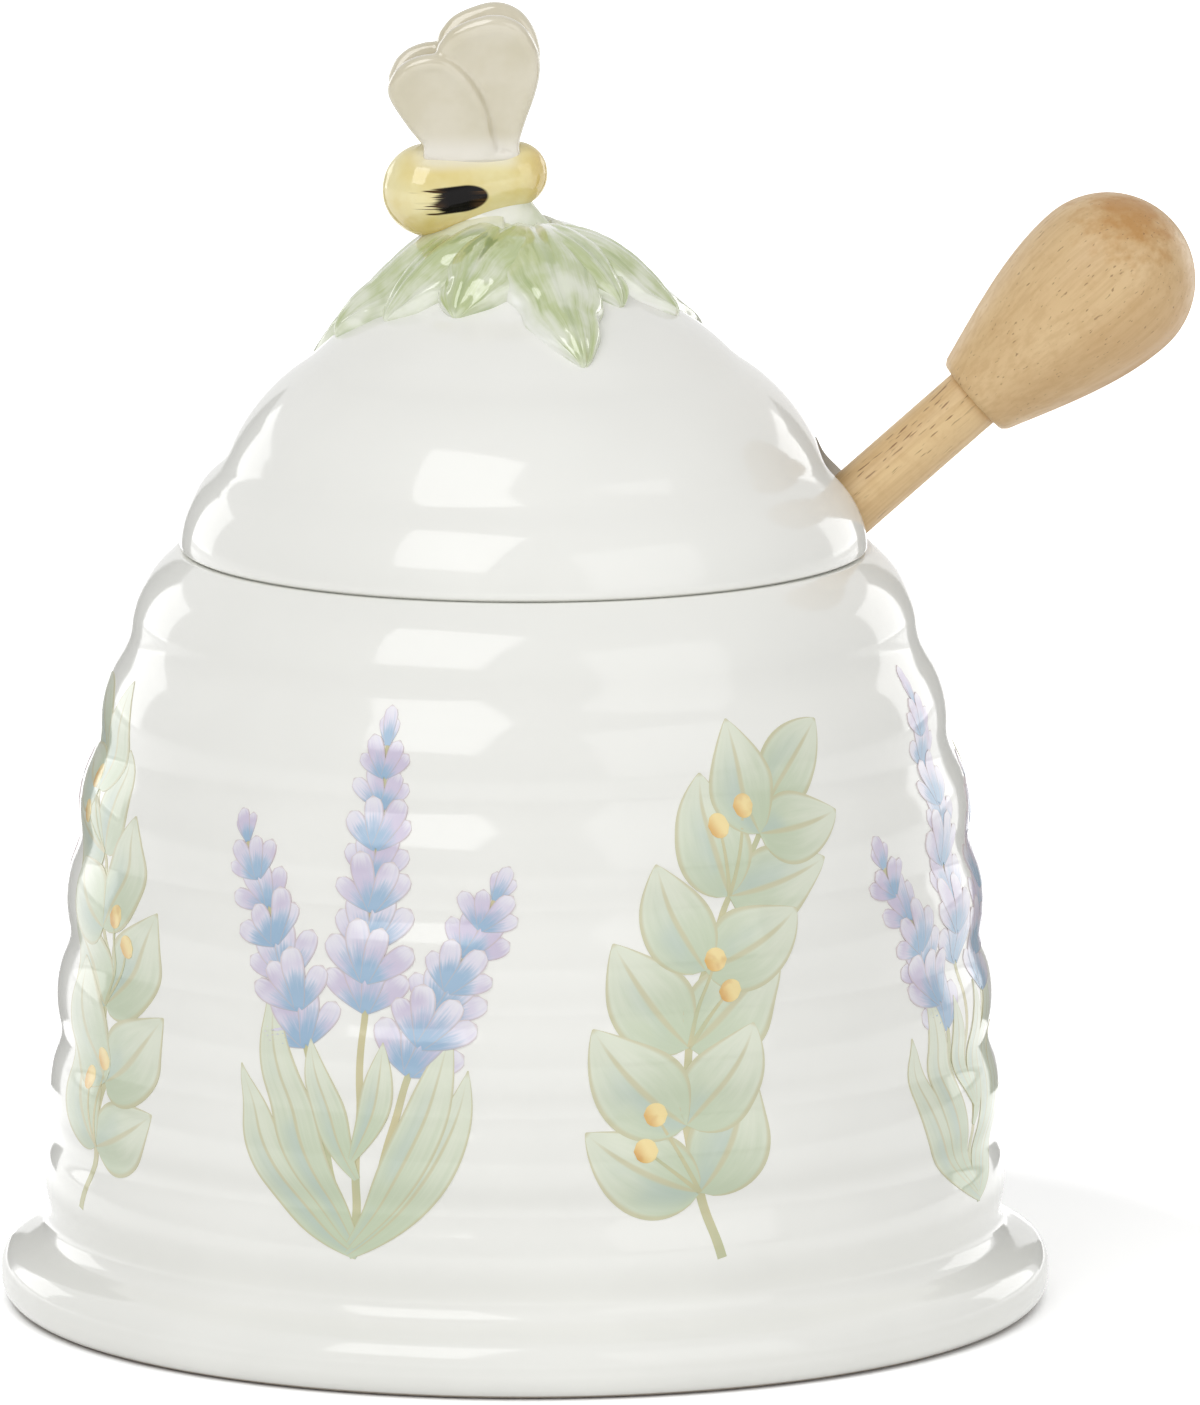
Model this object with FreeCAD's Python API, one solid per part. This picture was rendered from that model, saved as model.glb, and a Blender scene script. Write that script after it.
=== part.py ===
import FreeCAD, Part
import math
import os

from FreeCAD import Vector

# Honey pot with a lift-off lid and a wooden dipper. Sizes in mm.
# Origin at the centre of the foot ring on the table, +Z up, dipper leaving the lid towards +X.

# Pot: outer wall
FOOT_RING_INNER = 50.0
FOOT_RING_OUTER = 53.9
FOOT_RADIUS = 56.0
FOOT_WIDEST_Z = 3.0
FOOT_TOP = (53.3, 6.75)
FOOT_UNDER_MID = (55.35, 0.85)
FOOT_OVER_MID = (55.4, 5.4)
FOOT_HOLLOW_MID = (51.6, 7.3)
RIB_VALLEYS = [
    (50.3, 9.0),
    (49.85, 18.6),
    (49.3, 28.8),
    (48.3, 39.4),
    (47.05, 49.8),
    (45.05, 60.4),
    (42.0, 71.2),
]
RIB_BULGE = 1.2
VALLEY_FILLET = 2.4
SHOULDER_END = (38.0, 80.2)
SHOULDER_MID = (37.47, 80.62)

# Pot: lip, mouth and inside
SEAT_Z = 81.0
SEAT_OUTER = 36.9
SEAT_INNER = 35.7
MOUTH_RADIUS = 34.7
MOUTH_BOTTOM_Z = 77.2
INNER_WALL = [(38.4, 70.2), (41.5, 60.4), (43.5, 49.8), (44.8, 39.4), (45.7, 29.0)]
CAVITY_RADIUS = 46.0
CORNER_RADIUS = 14.0
FLOOR_Z = 7.0
BASE_RECESS_Z = 2.4
BASE_RECESS_RADIUS = 48.6

# Lid
LID_RIM_RADIUS = 36.75
LID_RIM_ROUND = 0.7
LID_VALLEYS = [(32.1, 90.3), (22.7, 101.3), (14.5, 107.2)]
LID_BULGES = [1.1, 1.2, 0.5]
LID_VALLEY_FILLET = 2.4
LID_CAP = [(9.0, 111.7), (4.3, 114.3)]
LID_TOP_Z = 115.3
FLANGE_OUTER = 34.1
FLANGE_INNER = 31.3
FLANGE_BOTTOM_Z = 76.8
FLANGE_ROUND = 0.6
LID_INSIDE = [(28.7, 88.7), (25.4, 93.0), (20.3, 98.0), (12.0, 103.8)]
LID_INSIDE_START_Z = 83.0
LID_INSIDE_TOP_Z = 108.4
NOTCH_WIDTH = 9.6
NOTCH_TOP_Z = 92.8
NOTCH_REACH = 10.0
NOTCH_OVERRUN = 5.0
NOTCH_EDGE_ROUND = 0.6

# Leaves: azimuth in degrees, reach from and to, half width, sideways bend, relief at root, middle and tip
LEAVES = {
    "leaf_front": (-75.0, 2.0, 20.8, 5.4, 1.0, 1.0, 2.5, 1.3),
    "leaf_left": (-178.0, 2.0, 20.2, 6.6, 0.6, 2.2, 3.5, 1.7),
    "leaf_right": (-6.0, 2.0, 16.6, 5.2, -0.6, 0.4, 2.3, 1.2),
    "leaf_left_mid": (-152.0, 2.0, 16.4, 5.6, -0.8, 1.2, 2.9, 1.4),
    "leaf_front_left": (-117.0, 2.0, 14.4, 6.6, -0.8, 1.0, 2.4, 1.2),
    "leaf_right_mid": (-44.0, 2.0, 13.6, 5.0, 0.8, 0.8, 2.0, 1.0),
    "leaf_back": (92.0, 2.0, 20.4, 7.4, -1.0, 1.4, 2.5, 1.3),
    "leaf_back_left": (150.0, 3.0, 25.4, 6.6, 1.2, 2.2, 2.6, 1.4),
    "leaf_back_right": (38.0, 3.0, 23.2, 6.2, -1.2, 1.2, 2.0, 1.2),
}
LEAF_EDGE_RELIEF = 0.75
LEAF_VEIN_DIP = 0.45
LEAF_TIP_HALF_WIDTH = 0.5
LEAF_BASE_WIDTH = 0.34
LEAF_FULLNESS = 0.7
LEAF_WIDEST = 1.2
LEAF_LOBE = 0.06
LEAF_LOBES = 2.5
LEAF_SECTIONS = 11
LEAF_STATIONS = (-1.0, -0.55, 0.0, 0.55, 1.0)
LEAF_BED_DEPTH = 3.5

# Rise of the leaves' roots around the bee: height, middle, half length and half width
COLLAR = (0.5, -3.5, 6.5, 5.0)

# Bee
ABDOMEN_CENTRE = Vector(-10.1, 0, 119.35)
ABDOMEN_RADIUS = 5.0
HEAD_CENTRE = Vector(-1.0, 0, 121.05)
HEAD_RADIUS = 3.5
WING_THICKNESS = 2.0
WING_PILLOW = [(-0.5, 0.8), (-0.36, 0.95), (0.0, 1.0), (0.36, 0.95), (0.5, 0.8)]
WING_STEP = 0.8
WING_TILT = 14.0
WING_ROOT_Y = 1.6
WING_ROOT_Z = 123.0
FOREWING = [(-4.6, 122.6), (-7.2, 129.0), (-9.2, 134.6), (-8.6, 136.6), (-6.9, 138.1), (-3.4, 139.2),
            (-0.6, 138.4), (1.2, 136.0), (1.75, 133.2), (1.2, 130.2), (0.2, 127.2), (-0.5, 124.6),
            (-0.6, 122.6)]
HINDWING = [(-10.2, 122.6), (-10.7, 124.6), (-12.4, 126.9), (-14.4, 130.4), (-14.0, 132.6), (-12.7, 134.1),
            (-10.9, 134.9), (-9.0, 135.0), (-7.2, 134.0), (-5.4, 132.0), (-4.0, 129.3), (-3.4, 126.5),
            (-3.2, 122.6)]

# Mound under the bee: height, middle, half length, half width and slope of each ring in degrees
MOUND_RINGS = [
    (109.0, -4.6, 10.5, 9.0, 12.5),
    (112.0, -4.8, 9.0, 7.0, 14.0),
    (114.3, -5.0, 7.2, 4.7, 15.5),
    (116.2, -5.0, 5.9, 3.1, 16.5),
    (118.5, -5.0, 5.2, 2.2, 14.5),
]

# Dipper
DIPPER_ANGLE = 41.6
DIPPER_AT_LIP = Vector(34.77, 0, 85.66)
SHAFT_RADIUS = 3.42
TENON_RADIUS = 2.6
TENON_LENGTH = 12.0
GLUE_GAP = 0.05
KNOB_START = 17.3
KNOB_LENGTH = 28.2
KNOB_END_RADIUS = 4.95
KNOB_END_ROUND = 0.5
KNOB_MAX_RADIUS = 9.35
KNOB_MAX_AT = 18.8
KNOB_MID = (8.0, 7.45)
KNOB_FLARE = 0.42
HEAD_TOP = -72.0
DIPPER_HEAD_EGG = [(5.0, 0.0), (8.9, 5.0), (11.4, 13.0), (10.7, 21.5), (7.6, 27.8), (4.5, 30.0)]
DIPPER_HEAD_CORE = 5.6
GROOVE_WIDTH = 2.1
GROOVE_PITCH = 4.3
GROOVE_COUNT = 6
FIRST_GROOVE = 3.6

Z_AXIS = Vector(0, 0, 1)
MATCH = 0.001
HALVINGS = 40


def point(rz):
    """A profile point (radius, height) in the XZ plane."""
    return Vector(rz[0], 0, rz[1])


def line(a, b):
    return Part.LineSegment(point(a), point(b)).toShape()


def arc(a, via, b):
    return Part.Arc(point(a), point(via), point(b)).toShape()


def smooth(points):
    """A smooth edge through profile points."""
    curve = Part.BSplineCurve()
    curve.interpolate([point(p) for p in points])
    return curve.toShape()


def bulged(a, b, bulge):
    """The arc from a up to b that swells outwards by bulge: one rib of the hive."""
    dr = b[0] - a[0]
    dz = b[1] - a[1]
    length = math.hypot(dr, dz)
    via = ((a[0] + b[0]) / 2 + bulge * dz / length, (a[1] + b[1]) / 2 - bulge * dr / length)
    return arc(a, via, b)


def turned(edges):
    """The solid turned about Z from the edges of a closed profile."""
    wire = Part.Wire(Part.__sortEdges__(edges))
    return Part.Face(wire).revolve(Vector(0, 0, 0), Z_AXIS, 360)


def round_valleys(solid, valleys, radius):
    """Fillets the sharp circles where two ribs meet."""
    heights = [z for r, z in valleys]
    sharp = []
    for edge in solid.Edges:
        ring = not edge.Degenerated and edge.isClosed() and isinstance(edge.Curve, Part.Circle)
        if ring and any(abs(edge.Curve.Center.z - z) < MATCH for z in heights):
            sharp.append(edge)
    return solid.makeFillet(radius, sharp)


def pot_body():
    """The ribbed pot, hollow, with a rounded lip and a recessed base inside its foot ring."""
    foot_edge = (FOOT_RADIUS, FOOT_WIDEST_Z)
    edges = [
        line((0, BASE_RECESS_Z), (BASE_RECESS_RADIUS, BASE_RECESS_Z)),
        line((BASE_RECESS_RADIUS, BASE_RECESS_Z), (FOOT_RING_INNER, 0)),
        line((FOOT_RING_INNER, 0), (FOOT_RING_OUTER, 0)),
        arc((FOOT_RING_OUTER, 0), FOOT_UNDER_MID, foot_edge),
        arc(foot_edge, FOOT_OVER_MID, FOOT_TOP),
        arc(FOOT_TOP, FOOT_HOLLOW_MID, RIB_VALLEYS[0]),
    ]
    for lower, upper in zip(RIB_VALLEYS, RIB_VALLEYS[1:] + [SHOULDER_END]):
        edges.append(bulged(lower, upper, RIB_BULGE))
    lip_round = SEAT_INNER - MOUTH_RADIUS
    lip_mid = lip_round * (1 - math.sqrt(0.5))
    mouth_top = (MOUTH_RADIUS, SEAT_Z - lip_round)
    mouth_bottom = (MOUTH_RADIUS, MOUTH_BOTTOM_Z)
    corner_top = (CAVITY_RADIUS, FLOOR_Z + CORNER_RADIUS)
    corner_floor = (CAVITY_RADIUS - CORNER_RADIUS, FLOOR_Z)
    corner_mid = CORNER_RADIUS * (1 - math.sqrt(0.5))
    edges += [
        arc(SHOULDER_END, SHOULDER_MID, (SEAT_OUTER, SEAT_Z)),
        line((SEAT_OUTER, SEAT_Z), (SEAT_INNER, SEAT_Z)),
        arc((SEAT_INNER, SEAT_Z), (MOUTH_RADIUS + lip_mid, SEAT_Z - lip_mid), mouth_top),
        line(mouth_top, mouth_bottom),
        smooth([mouth_bottom] + INNER_WALL + [corner_top]),
        arc(corner_top, (CAVITY_RADIUS - corner_mid, FLOOR_Z + corner_mid), corner_floor),
        line(corner_floor, (0, FLOOR_Z)),
        line((0, FLOOR_Z), (0, BASE_RECESS_Z)),
    ]
    return round_valleys(turned(edges), RIB_VALLEYS, VALLEY_FILLET)


def lid_outside():
    """The edges of the lid's outer outline, from the rim's seat up to the top."""
    rim = (LID_RIM_RADIUS, SEAT_Z + LID_RIM_ROUND)
    seat_edge = (LID_RIM_RADIUS - LID_RIM_ROUND, SEAT_Z)
    mid = LID_RIM_ROUND * (1 - math.sqrt(0.5))
    edges = [arc(seat_edge, (LID_RIM_RADIUS - mid, SEAT_Z + mid), rim)]
    for lower, upper, bulge in zip([rim] + LID_VALLEYS, LID_VALLEYS, LID_BULGES):
        edges.append(bulged(lower, upper, bulge))
    edges.append(smooth([LID_VALLEYS[-1]] + LID_CAP + [(0, LID_TOP_Z)]))
    return edges


def lid_height(r, outline):
    """Height of the lid's outside at radius r, found on its outline by halving."""
    for edge in outline[1:]:
        radii = [v.X for v in edge.Vertexes]
        if min(radii) - MATCH <= r <= max(radii) + MATCH:
            low, high = edge.ParameterRange
            inwards = edge.valueAt(high).x < edge.valueAt(low).x
            for step in range(HALVINGS):
                middle = (low + high) / 2
                if (edge.valueAt(middle).x > r) == inwards:
                    low = middle
                else:
                    high = middle
            return edge.valueAt(low).z
    return SEAT_Z


def lid_block(outline):
    """The lid as if it were solid, for bedding the leaves on it."""
    seat_edge = (LID_RIM_RADIUS - LID_RIM_ROUND, SEAT_Z)
    edges = outline + [line(seat_edge, (0, SEAT_Z)), line((0, SEAT_Z), (0, LID_TOP_Z))]
    return round_valleys(turned(edges), LID_VALLEYS, LID_VALLEY_FILLET)


def notch_cutter():
    """The arched slot that lets the dipper out under the lid."""
    half = NOTCH_WIDTH / 2
    arch_z = NOTCH_TOP_Z - half
    near = FLANGE_INNER - NOTCH_REACH
    depth = LID_RIM_RADIUS - near + NOTCH_OVERRUN
    below = FLANGE_BOTTOM_Z - NOTCH_OVERRUN
    legs = Part.makeBox(depth, NOTCH_WIDTH, arch_z - below, Vector(near, -half, below))
    arch = Part.makeCylinder(half, depth, Vector(near, 0, arch_z), Vector(1, 0, 0))
    return legs.fuse(arch).removeSplitter()


def lid_dome(outline):
    """The hollow lid with its locating flange and the arched notch for the dipper."""
    seat_edge = (LID_RIM_RADIUS - LID_RIM_ROUND, SEAT_Z)
    inside_start = (FLANGE_INNER, LID_INSIDE_START_Z)
    mid = FLANGE_ROUND * (1 - math.sqrt(0.5))
    round_z = FLANGE_BOTTOM_Z + FLANGE_ROUND
    outer_foot = (FLANGE_OUTER - FLANGE_ROUND, FLANGE_BOTTOM_Z)
    inner_foot = (FLANGE_INNER + FLANGE_ROUND, FLANGE_BOTTOM_Z)
    edges = outline + [
        line(seat_edge, (FLANGE_OUTER, SEAT_Z)),
        line((FLANGE_OUTER, SEAT_Z), (FLANGE_OUTER, round_z)),
        arc((FLANGE_OUTER, round_z), (FLANGE_OUTER - mid, FLANGE_BOTTOM_Z + mid), outer_foot),
        line(outer_foot, inner_foot),
        arc(inner_foot, (FLANGE_INNER + mid, FLANGE_BOTTOM_Z + mid), (FLANGE_INNER, round_z)),
        line((FLANGE_INNER, round_z), inside_start),
        smooth([inside_start] + LID_INSIDE + [(0, LID_INSIDE_TOP_Z)]),
        line((0, LID_INSIDE_TOP_Z), (0, LID_TOP_Z)),
    ]
    dome = round_valleys(turned(edges), LID_VALLEYS, LID_VALLEY_FILLET)
    return round_notch(dome.cut(notch_cutter()), outline)


def on_notch(spot):
    """Whether a point lies on the sides or the arch of the notch."""
    half = NOTCH_WIDTH / 2
    arch_z = NOTCH_TOP_Z - half
    off_axis = abs(spot.y) if spot.z <= arch_z else math.hypot(spot.y, spot.z - arch_z)
    return spot.x > 0 and abs(off_axis - half) < MATCH


def round_notch(dome, outline):
    """Rounds the edge where the notch breaks through the lid's outside."""
    rim = []
    for edge in dome.Edges:
        if edge.Degenerated or edge.isClosed():
            continue
        low, high = edge.ParameterRange
        middle = edge.valueAt((low + high) / 2)
        if not on_notch(middle) or middle.z < SEAT_Z + LID_RIM_ROUND:
            continue
        depth = lid_height(math.hypot(middle.x, middle.y), outline) - middle.z
        if abs(depth) < LID_VALLEY_FILLET / 4:
            rim.append(edge)
    return dome.makeFillet(NOTCH_EDGE_ROUND, rim)


def leaf_half_width(u, width):
    """Half width of a leaf along its length, with soft lobes on its edge."""
    stage = (LEAF_BASE_WIDTH + (1 - LEAF_BASE_WIDTH) * u) ** LEAF_WIDEST
    swell = max(0.0, math.sin(math.pi * stage)) ** LEAF_FULLNESS
    lobes = 1 + LEAF_LOBE * math.cos(2 * math.pi * LEAF_LOBES * u)
    return max(LEAF_TIP_HALF_WIDTH, width * swell * lobes)


def leaf_relief(u, root, middle, tip):
    """Relief at u along a leaf, through its three stated values."""
    return root * (1 - u) * (1 - 2 * u) + middle * 4 * u * (1 - u) + tip * u * (2 * u - 1)


def collar_rise(x, y):
    """How far the leaves' roots rise above the dome round the bee."""
    rise, middle, half_length, half_width = COLLAR
    return rise * math.exp(-((x - middle) / half_length) ** 2 - (y / half_width) ** 2)


def leaf(spec, outline):
    """One sprigged leaf, lofted over the dome: a dip along its vein and thin edges."""
    azimuth, start, tip, width, bend, root_relief, mid_relief, tip_relief = spec
    turn = FreeCAD.Rotation(Z_AXIS, azimuth)
    sections = []
    for i in range(LEAF_SECTIONS):
        u = i / (LEAF_SECTIONS - 1)
        along = start + (tip - start) * u
        half = leaf_half_width(u, width)
        crown = leaf_relief(u, root_relief, mid_relief, tip_relief) - LEAF_EDGE_RELIEF
        top = []
        for station in LEAF_STATIONS:
            across = station * half + bend * u * u
            height = LEAF_EDGE_RELIEF + crown * (1 - station ** 2)
            if station == 0:
                height -= LEAF_VEIN_DIP * (1 - u)
            spot = turn.multVec(Vector(along, across, 0))
            spot.z = lid_height(math.hypot(along, across), outline) + height + collar_rise(spot.x, spot.y)
            top.append(spot)
        curve = Part.BSplineCurve()
        curve.interpolate(top)
        low_right = top[-1] - Vector(0, 0, LEAF_BED_DEPTH)
        low_left = top[0] - Vector(0, 0, LEAF_BED_DEPTH)
        sections.append(Part.Wire([
            curve.toShape(),
            Part.LineSegment(top[-1], low_right).toShape(),
            Part.LineSegment(low_right, low_left).toShape(),
            Part.LineSegment(low_left, top[0]).toShape(),
        ]))
    return Part.makeLoft(sections, True, False)


def largest(shape):
    """The main solid of a cut, without its offcuts."""
    return max(shape.Solids, key=lambda s: s.Volume)


def bedded(piece, carriers):
    """What is left of a piece once each of its carriers is cut away."""
    for carrier in carriers:
        piece = largest(piece.cut(carrier))
    return piece


def bee_body():
    """A plump bee: two rounds joined by their common cone, on the mound that beds it in the leaves."""
    axis = HEAD_CENTRE - ABDOMEN_CENTRE
    length = axis.Length
    lean = math.asin((ABDOMEN_RADIUS - HEAD_RADIUS) / length)
    tail = (0, -ABDOMEN_RADIUS)
    nose = (0, length + HEAD_RADIUS)
    hip = (ABDOMEN_RADIUS * math.cos(lean), ABDOMEN_RADIUS * math.sin(lean))
    neck = (HEAD_RADIUS * math.cos(lean), length + HEAD_RADIUS * math.sin(lean))
    half_hip = (lean - math.pi / 2) / 2
    half_neck = (lean + math.pi / 2) / 2
    body = turned([
        arc(tail, (ABDOMEN_RADIUS * math.cos(half_hip), ABDOMEN_RADIUS * math.sin(half_hip)), hip),
        line(hip, neck),
        arc(neck, (HEAD_RADIUS * math.cos(half_neck), length + HEAD_RADIUS * math.sin(half_neck)), nose),
        line(nose, tail),
    ])
    body.rotate(Vector(0, 0, 0), Vector(0, 1, 0), math.degrees(math.atan2(axis.x, axis.z)))
    body.translate(ABDOMEN_CENTRE)
    return body.fuse(bee_mound()).removeSplitter()


def bee_mound():
    """The slanting mound of clay that beds the bee in the leaves."""
    rings = []
    for z, x, half_length, half_width, slope in MOUND_RINGS:
        ring = Part.Wire(Part.Ellipse(Vector(0, 0, 0), half_length, half_width).toShape())
        ring.rotate(Vector(0, 0, 0), Vector(0, 1, 0), -slope)
        ring.translate(Vector(x, 0, z))
        rings.append(ring)
    return Part.makeLoft(rings, True, False)


def wing_lobe(outline, offset):
    """One lobe of a wing pair: a pillowed plate standing in the XZ plane."""
    middle = Vector(sum(x for x, z in outline), 0, sum(z for x, z in outline)) / len(outline)
    rings = []
    for depth, size in WING_PILLOW:
        curve = Part.BSplineCurve()
        shrunk = [middle + (point(p) - middle) * size for p in outline]
        curve.interpolate(shrunk, PeriodicFlag=True)
        ring = Part.Wire(curve.toShape())
        ring.translate(Vector(0, offset + depth * WING_THICKNESS, 0))
        rings.append(ring)
    return Part.makeLoft(rings, True, False)


def wing_pair(side):
    """Forewing and hindwing of one side, stepped at their crease and leaning outwards."""
    pair = wing_lobe(FOREWING, 0).fuse(wing_lobe(HINDWING, side * WING_STEP))
    pair.translate(Vector(0, side * WING_ROOT_Y, 0))
    pair.rotate(Vector(0, side * WING_ROOT_Y, WING_ROOT_Z), Vector(1, 0, 0), -side * WING_TILT)
    return pair


def on_dipper(shape):
    """Lays a piece turned about Z along the dipper's slanting axis."""
    shape.rotate(Vector(0, 0, 0), Vector(0, 1, 0), 90 - DIPPER_ANGLE)
    shape.translate(DIPPER_AT_LIP)
    return shape


def dipper_shaft():
    """The dowel, with a tenon at each end."""
    dowel = Part.makeCylinder(SHAFT_RADIUS, KNOB_START - HEAD_TOP, Vector(0, 0, HEAD_TOP), Z_AXIS)
    length = KNOB_START - HEAD_TOP + 2 * TENON_LENGTH
    tenons = Part.makeCylinder(TENON_RADIUS, length, Vector(0, 0, HEAD_TOP - TENON_LENGTH), Z_AXIS)
    return on_dipper(dowel.fuse(tenons))


def dipper_knob():
    """The egg-shaped grip, turned."""
    base = (KNOB_END_RADIUS - KNOB_END_ROUND, KNOB_START)
    rim = (KNOB_END_RADIUS, KNOB_START + KNOB_END_ROUND)
    widest = (KNOB_MAX_RADIUS, KNOB_START + KNOB_MAX_AT)
    tip = (0, KNOB_START + KNOB_LENGTH)
    flank = Part.BSplineCurve()
    middle = (KNOB_MID[1], KNOB_START + KNOB_MID[0])
    flank.interpolate([point(rim), point(middle), point(widest)], FinalTangent=Vector(0, 0, 1),
                      InitialTangent=Vector(KNOB_FLARE, 0, 1))
    crown = Part.BSplineCurve()
    cap = KNOB_LENGTH - KNOB_MAX_AT
    shoulder = (KNOB_MAX_RADIUS * math.cos(math.radians(45)), widest[1] + cap * math.sin(math.radians(45)))
    crown.interpolate([point(widest), point(shoulder), point(tip)], InitialTangent=Vector(0, 0, 1),
                      FinalTangent=Vector(-1, 0, 0))
    knob = turned([
        line((0, KNOB_START), base),
        line(base, rim),
        flank.toShape(),
        crown.toShape(),
        line(tip, (0, KNOB_START)),
    ])
    depth = TENON_LENGTH + GLUE_GAP
    socket = Part.makeCylinder(TENON_RADIUS + GLUE_GAP, depth, Vector(0, 0, KNOB_START), Z_AXIS)
    return on_dipper(knob.cut(socket))


def slab(r_from, r_to, z_from, z_to):
    """A rectangle of the turning profile."""
    corners = [(r_from, z_from), (r_to, z_from), (r_to, z_to), (r_from, z_to), (r_from, z_from)]
    return Part.Face(Part.makePolygon([point(c) for c in corners]))


def dipper_head():
    """The grooved honey head at the inner end, turned from one profile."""
    egg = [(r, HEAD_TOP - t) for r, t in DIPPER_HEAD_EGG]
    bottom = egg[-1][1]
    profile = Part.Face(Part.Wire([
        line((0, HEAD_TOP), egg[0]),
        smooth(egg),
        line(egg[-1], (0, bottom)),
        line((0, bottom), (0, HEAD_TOP)),
    ]))
    rim = 2 * max(r for r, t in DIPPER_HEAD_EGG)
    for i in range(GROOVE_COUNT):
        top = HEAD_TOP - FIRST_GROOVE - i * GROOVE_PITCH
        profile = profile.cut(slab(DIPPER_HEAD_CORE, rim, top - GROOVE_WIDTH, top))
    bore = TENON_RADIUS + GLUE_GAP
    profile = profile.cut(slab(0, bore, HEAD_TOP - TENON_LENGTH - GLUE_GAP, HEAD_TOP))
    return on_dipper(profile.Faces[0].revolve(Vector(0, 0, 0), Z_AXIS, 360))


outline = lid_outside()
parts = {"pot_body": pot_body(), "lid_dome": lid_dome(outline)}

# Each piece on the lid is bedded on the ones laid before it
laid = [lid_block(outline)]
for name, spec in LEAVES.items():
    parts[name] = bedded(leaf(spec, outline), laid)
    laid.append(parts[name])
bee = bee_body()
parts["bee_body"] = bedded(bee, laid)
for name, side in (("bee_wings_front", -1), ("bee_wings_back", 1)):
    parts[name] = largest(wing_pair(side).cut([bee]))

parts["dipper_knob"] = dipper_knob()
parts["dipper_shaft"] = dipper_shaft()
parts["dipper_head"] = dipper_head()

os.makedirs("parts", exist_ok=True)
for name, shape in parts.items():
    shape.exportStep(f"parts/{name}.step")
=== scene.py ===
import bisect
import math
import random

import bmesh
import bpy
from mathutils import Matrix, Vector


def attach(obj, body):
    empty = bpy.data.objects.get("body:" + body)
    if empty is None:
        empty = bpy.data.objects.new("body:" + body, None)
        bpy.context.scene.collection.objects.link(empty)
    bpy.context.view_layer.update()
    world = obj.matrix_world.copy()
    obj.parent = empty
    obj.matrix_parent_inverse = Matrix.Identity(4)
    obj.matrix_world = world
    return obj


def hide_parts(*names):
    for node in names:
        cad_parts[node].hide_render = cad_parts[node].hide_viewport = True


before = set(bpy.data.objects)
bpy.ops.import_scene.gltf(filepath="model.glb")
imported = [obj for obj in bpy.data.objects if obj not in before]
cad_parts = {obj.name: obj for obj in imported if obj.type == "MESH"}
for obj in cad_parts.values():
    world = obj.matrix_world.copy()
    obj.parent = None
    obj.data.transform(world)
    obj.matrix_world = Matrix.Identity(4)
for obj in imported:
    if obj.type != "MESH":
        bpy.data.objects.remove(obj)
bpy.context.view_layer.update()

# Sizes of the object are in millimetres, as in the part's source, and MM brings them to metres
MM = 0.001
FULL_TURN = 2 * math.pi
QUARTER_TURN = math.pi / 2
# How far the middle of a quarter arc stays clear of its corner, as a share of its radius
ARC_CLEAR = 1 - math.sqrt(0.5)
# Points closer than this, in metres, are merged
WELD = 2e-6
# Least half width of a leaf or ring, so that it never closes to a point
LEAST_RING = 0.02

# Pot, with the points that the arcs of its foot and shoulder pass through
FOOT_RING = (50.0, 53.9)
FOOT_LOW_VIA = (55.35, 0.85)
FOOT_EDGE = (55.99, 3.0)
FOOT_HIGH_VIA = (55.4, 5.4)
FOOT_TOP = (53.3, 6.75)
FOOT_COVE_VIA = (51.6, 7.3)
RIB_VALLEYS = [(50.3, 9.0), (49.85, 18.6), (49.3, 28.8), (48.3, 39.4), (47.05, 49.8), (45.05, 60.4),
               (42.0, 71.2)]
RIB_BULGE = 1.2
SHOULDER_END = (38.0, 80.2)
SHOULDER_VIA = (37.47, 80.62)
SEAT_Z = 81.0
SEAT_RING = (35.7, 36.9)
MOUTH_RADIUS = 34.7
MOUTH_BOTTOM_Z = 77.2
INNER_WALL = [(38.4, 70.2), (41.5, 60.4), (43.5, 49.8), (44.8, 39.4), (45.7, 29.0)]
CAVITY_RADIUS = 46.0
CORNER_RADIUS = 14.0
FLOOR_Z = 7.0
BASE_RECESS = (48.6, 2.4)
POT_SIDES = 208
POT_STEP = 0.4
INNER_STEP = 1.2
EDGE_STEP = 0.2
# Steps along the straight parts of the pot's section
BASE_STEP, RECESS_STEP, RING_STEP, SEAT_STEP, MOUTH_STEP, FLOOR_STEP = 6.0, 0.5, 0.8, 0.4, 0.6, 4.0
# Glaze softens the creases: reach round each one, and passes
VALLEY_SOFTENING = (2.4, 24)
FOOT_SOFTENING = (1.8, 16)

# Lid
LID_RIM_RADIUS = 36.75
LID_RIM_ROUND = 0.7
LID_VALLEYS = [(32.1, 90.3), (22.7, 101.3), (14.5, 107.2)]
LID_BULGES = [1.1, 1.2, 0.5]
LID_CAP = [(9.0, 111.7), (4.3, 114.3)]
LID_TOP_Z = 115.3
FLANGE = (31.3, 34.1)
FLANGE_BOTTOM_Z = 76.8
FLANGE_ROWS = 5
LID_INSIDE = [(28.7, 88.7), (25.4, 93.0), (20.3, 98.0), (12.0, 103.8)]
LID_INSIDE_START_Z = 83.0
LID_INSIDE_TOP_Z = 108.4
NOTCH_HALF = 4.8
NOTCH_TOP_Z = 92.8
NOTCH_CORNER = 2.4
NOTCH_STEP = 0.35
NOTCH_ARCH_STEP = 6
LID_SIDES = 192
LID_STEP = 0.25
LID_RIM_STEP = 0.15
LID_INSIDE_STEP = 1.0
# How far above the notch the unbroken rings start, inside and outside
NOTCH_CLEAR = (0.3, 0.2)
# How far above the round of the rim the dome starts, for what lies on it
DOME_CLEAR = 0.3
# Rounding of the lid's cut edges: width, segments and the least angle of an edge
LID_EDGE = (0.55, 3, 40.0)

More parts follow.
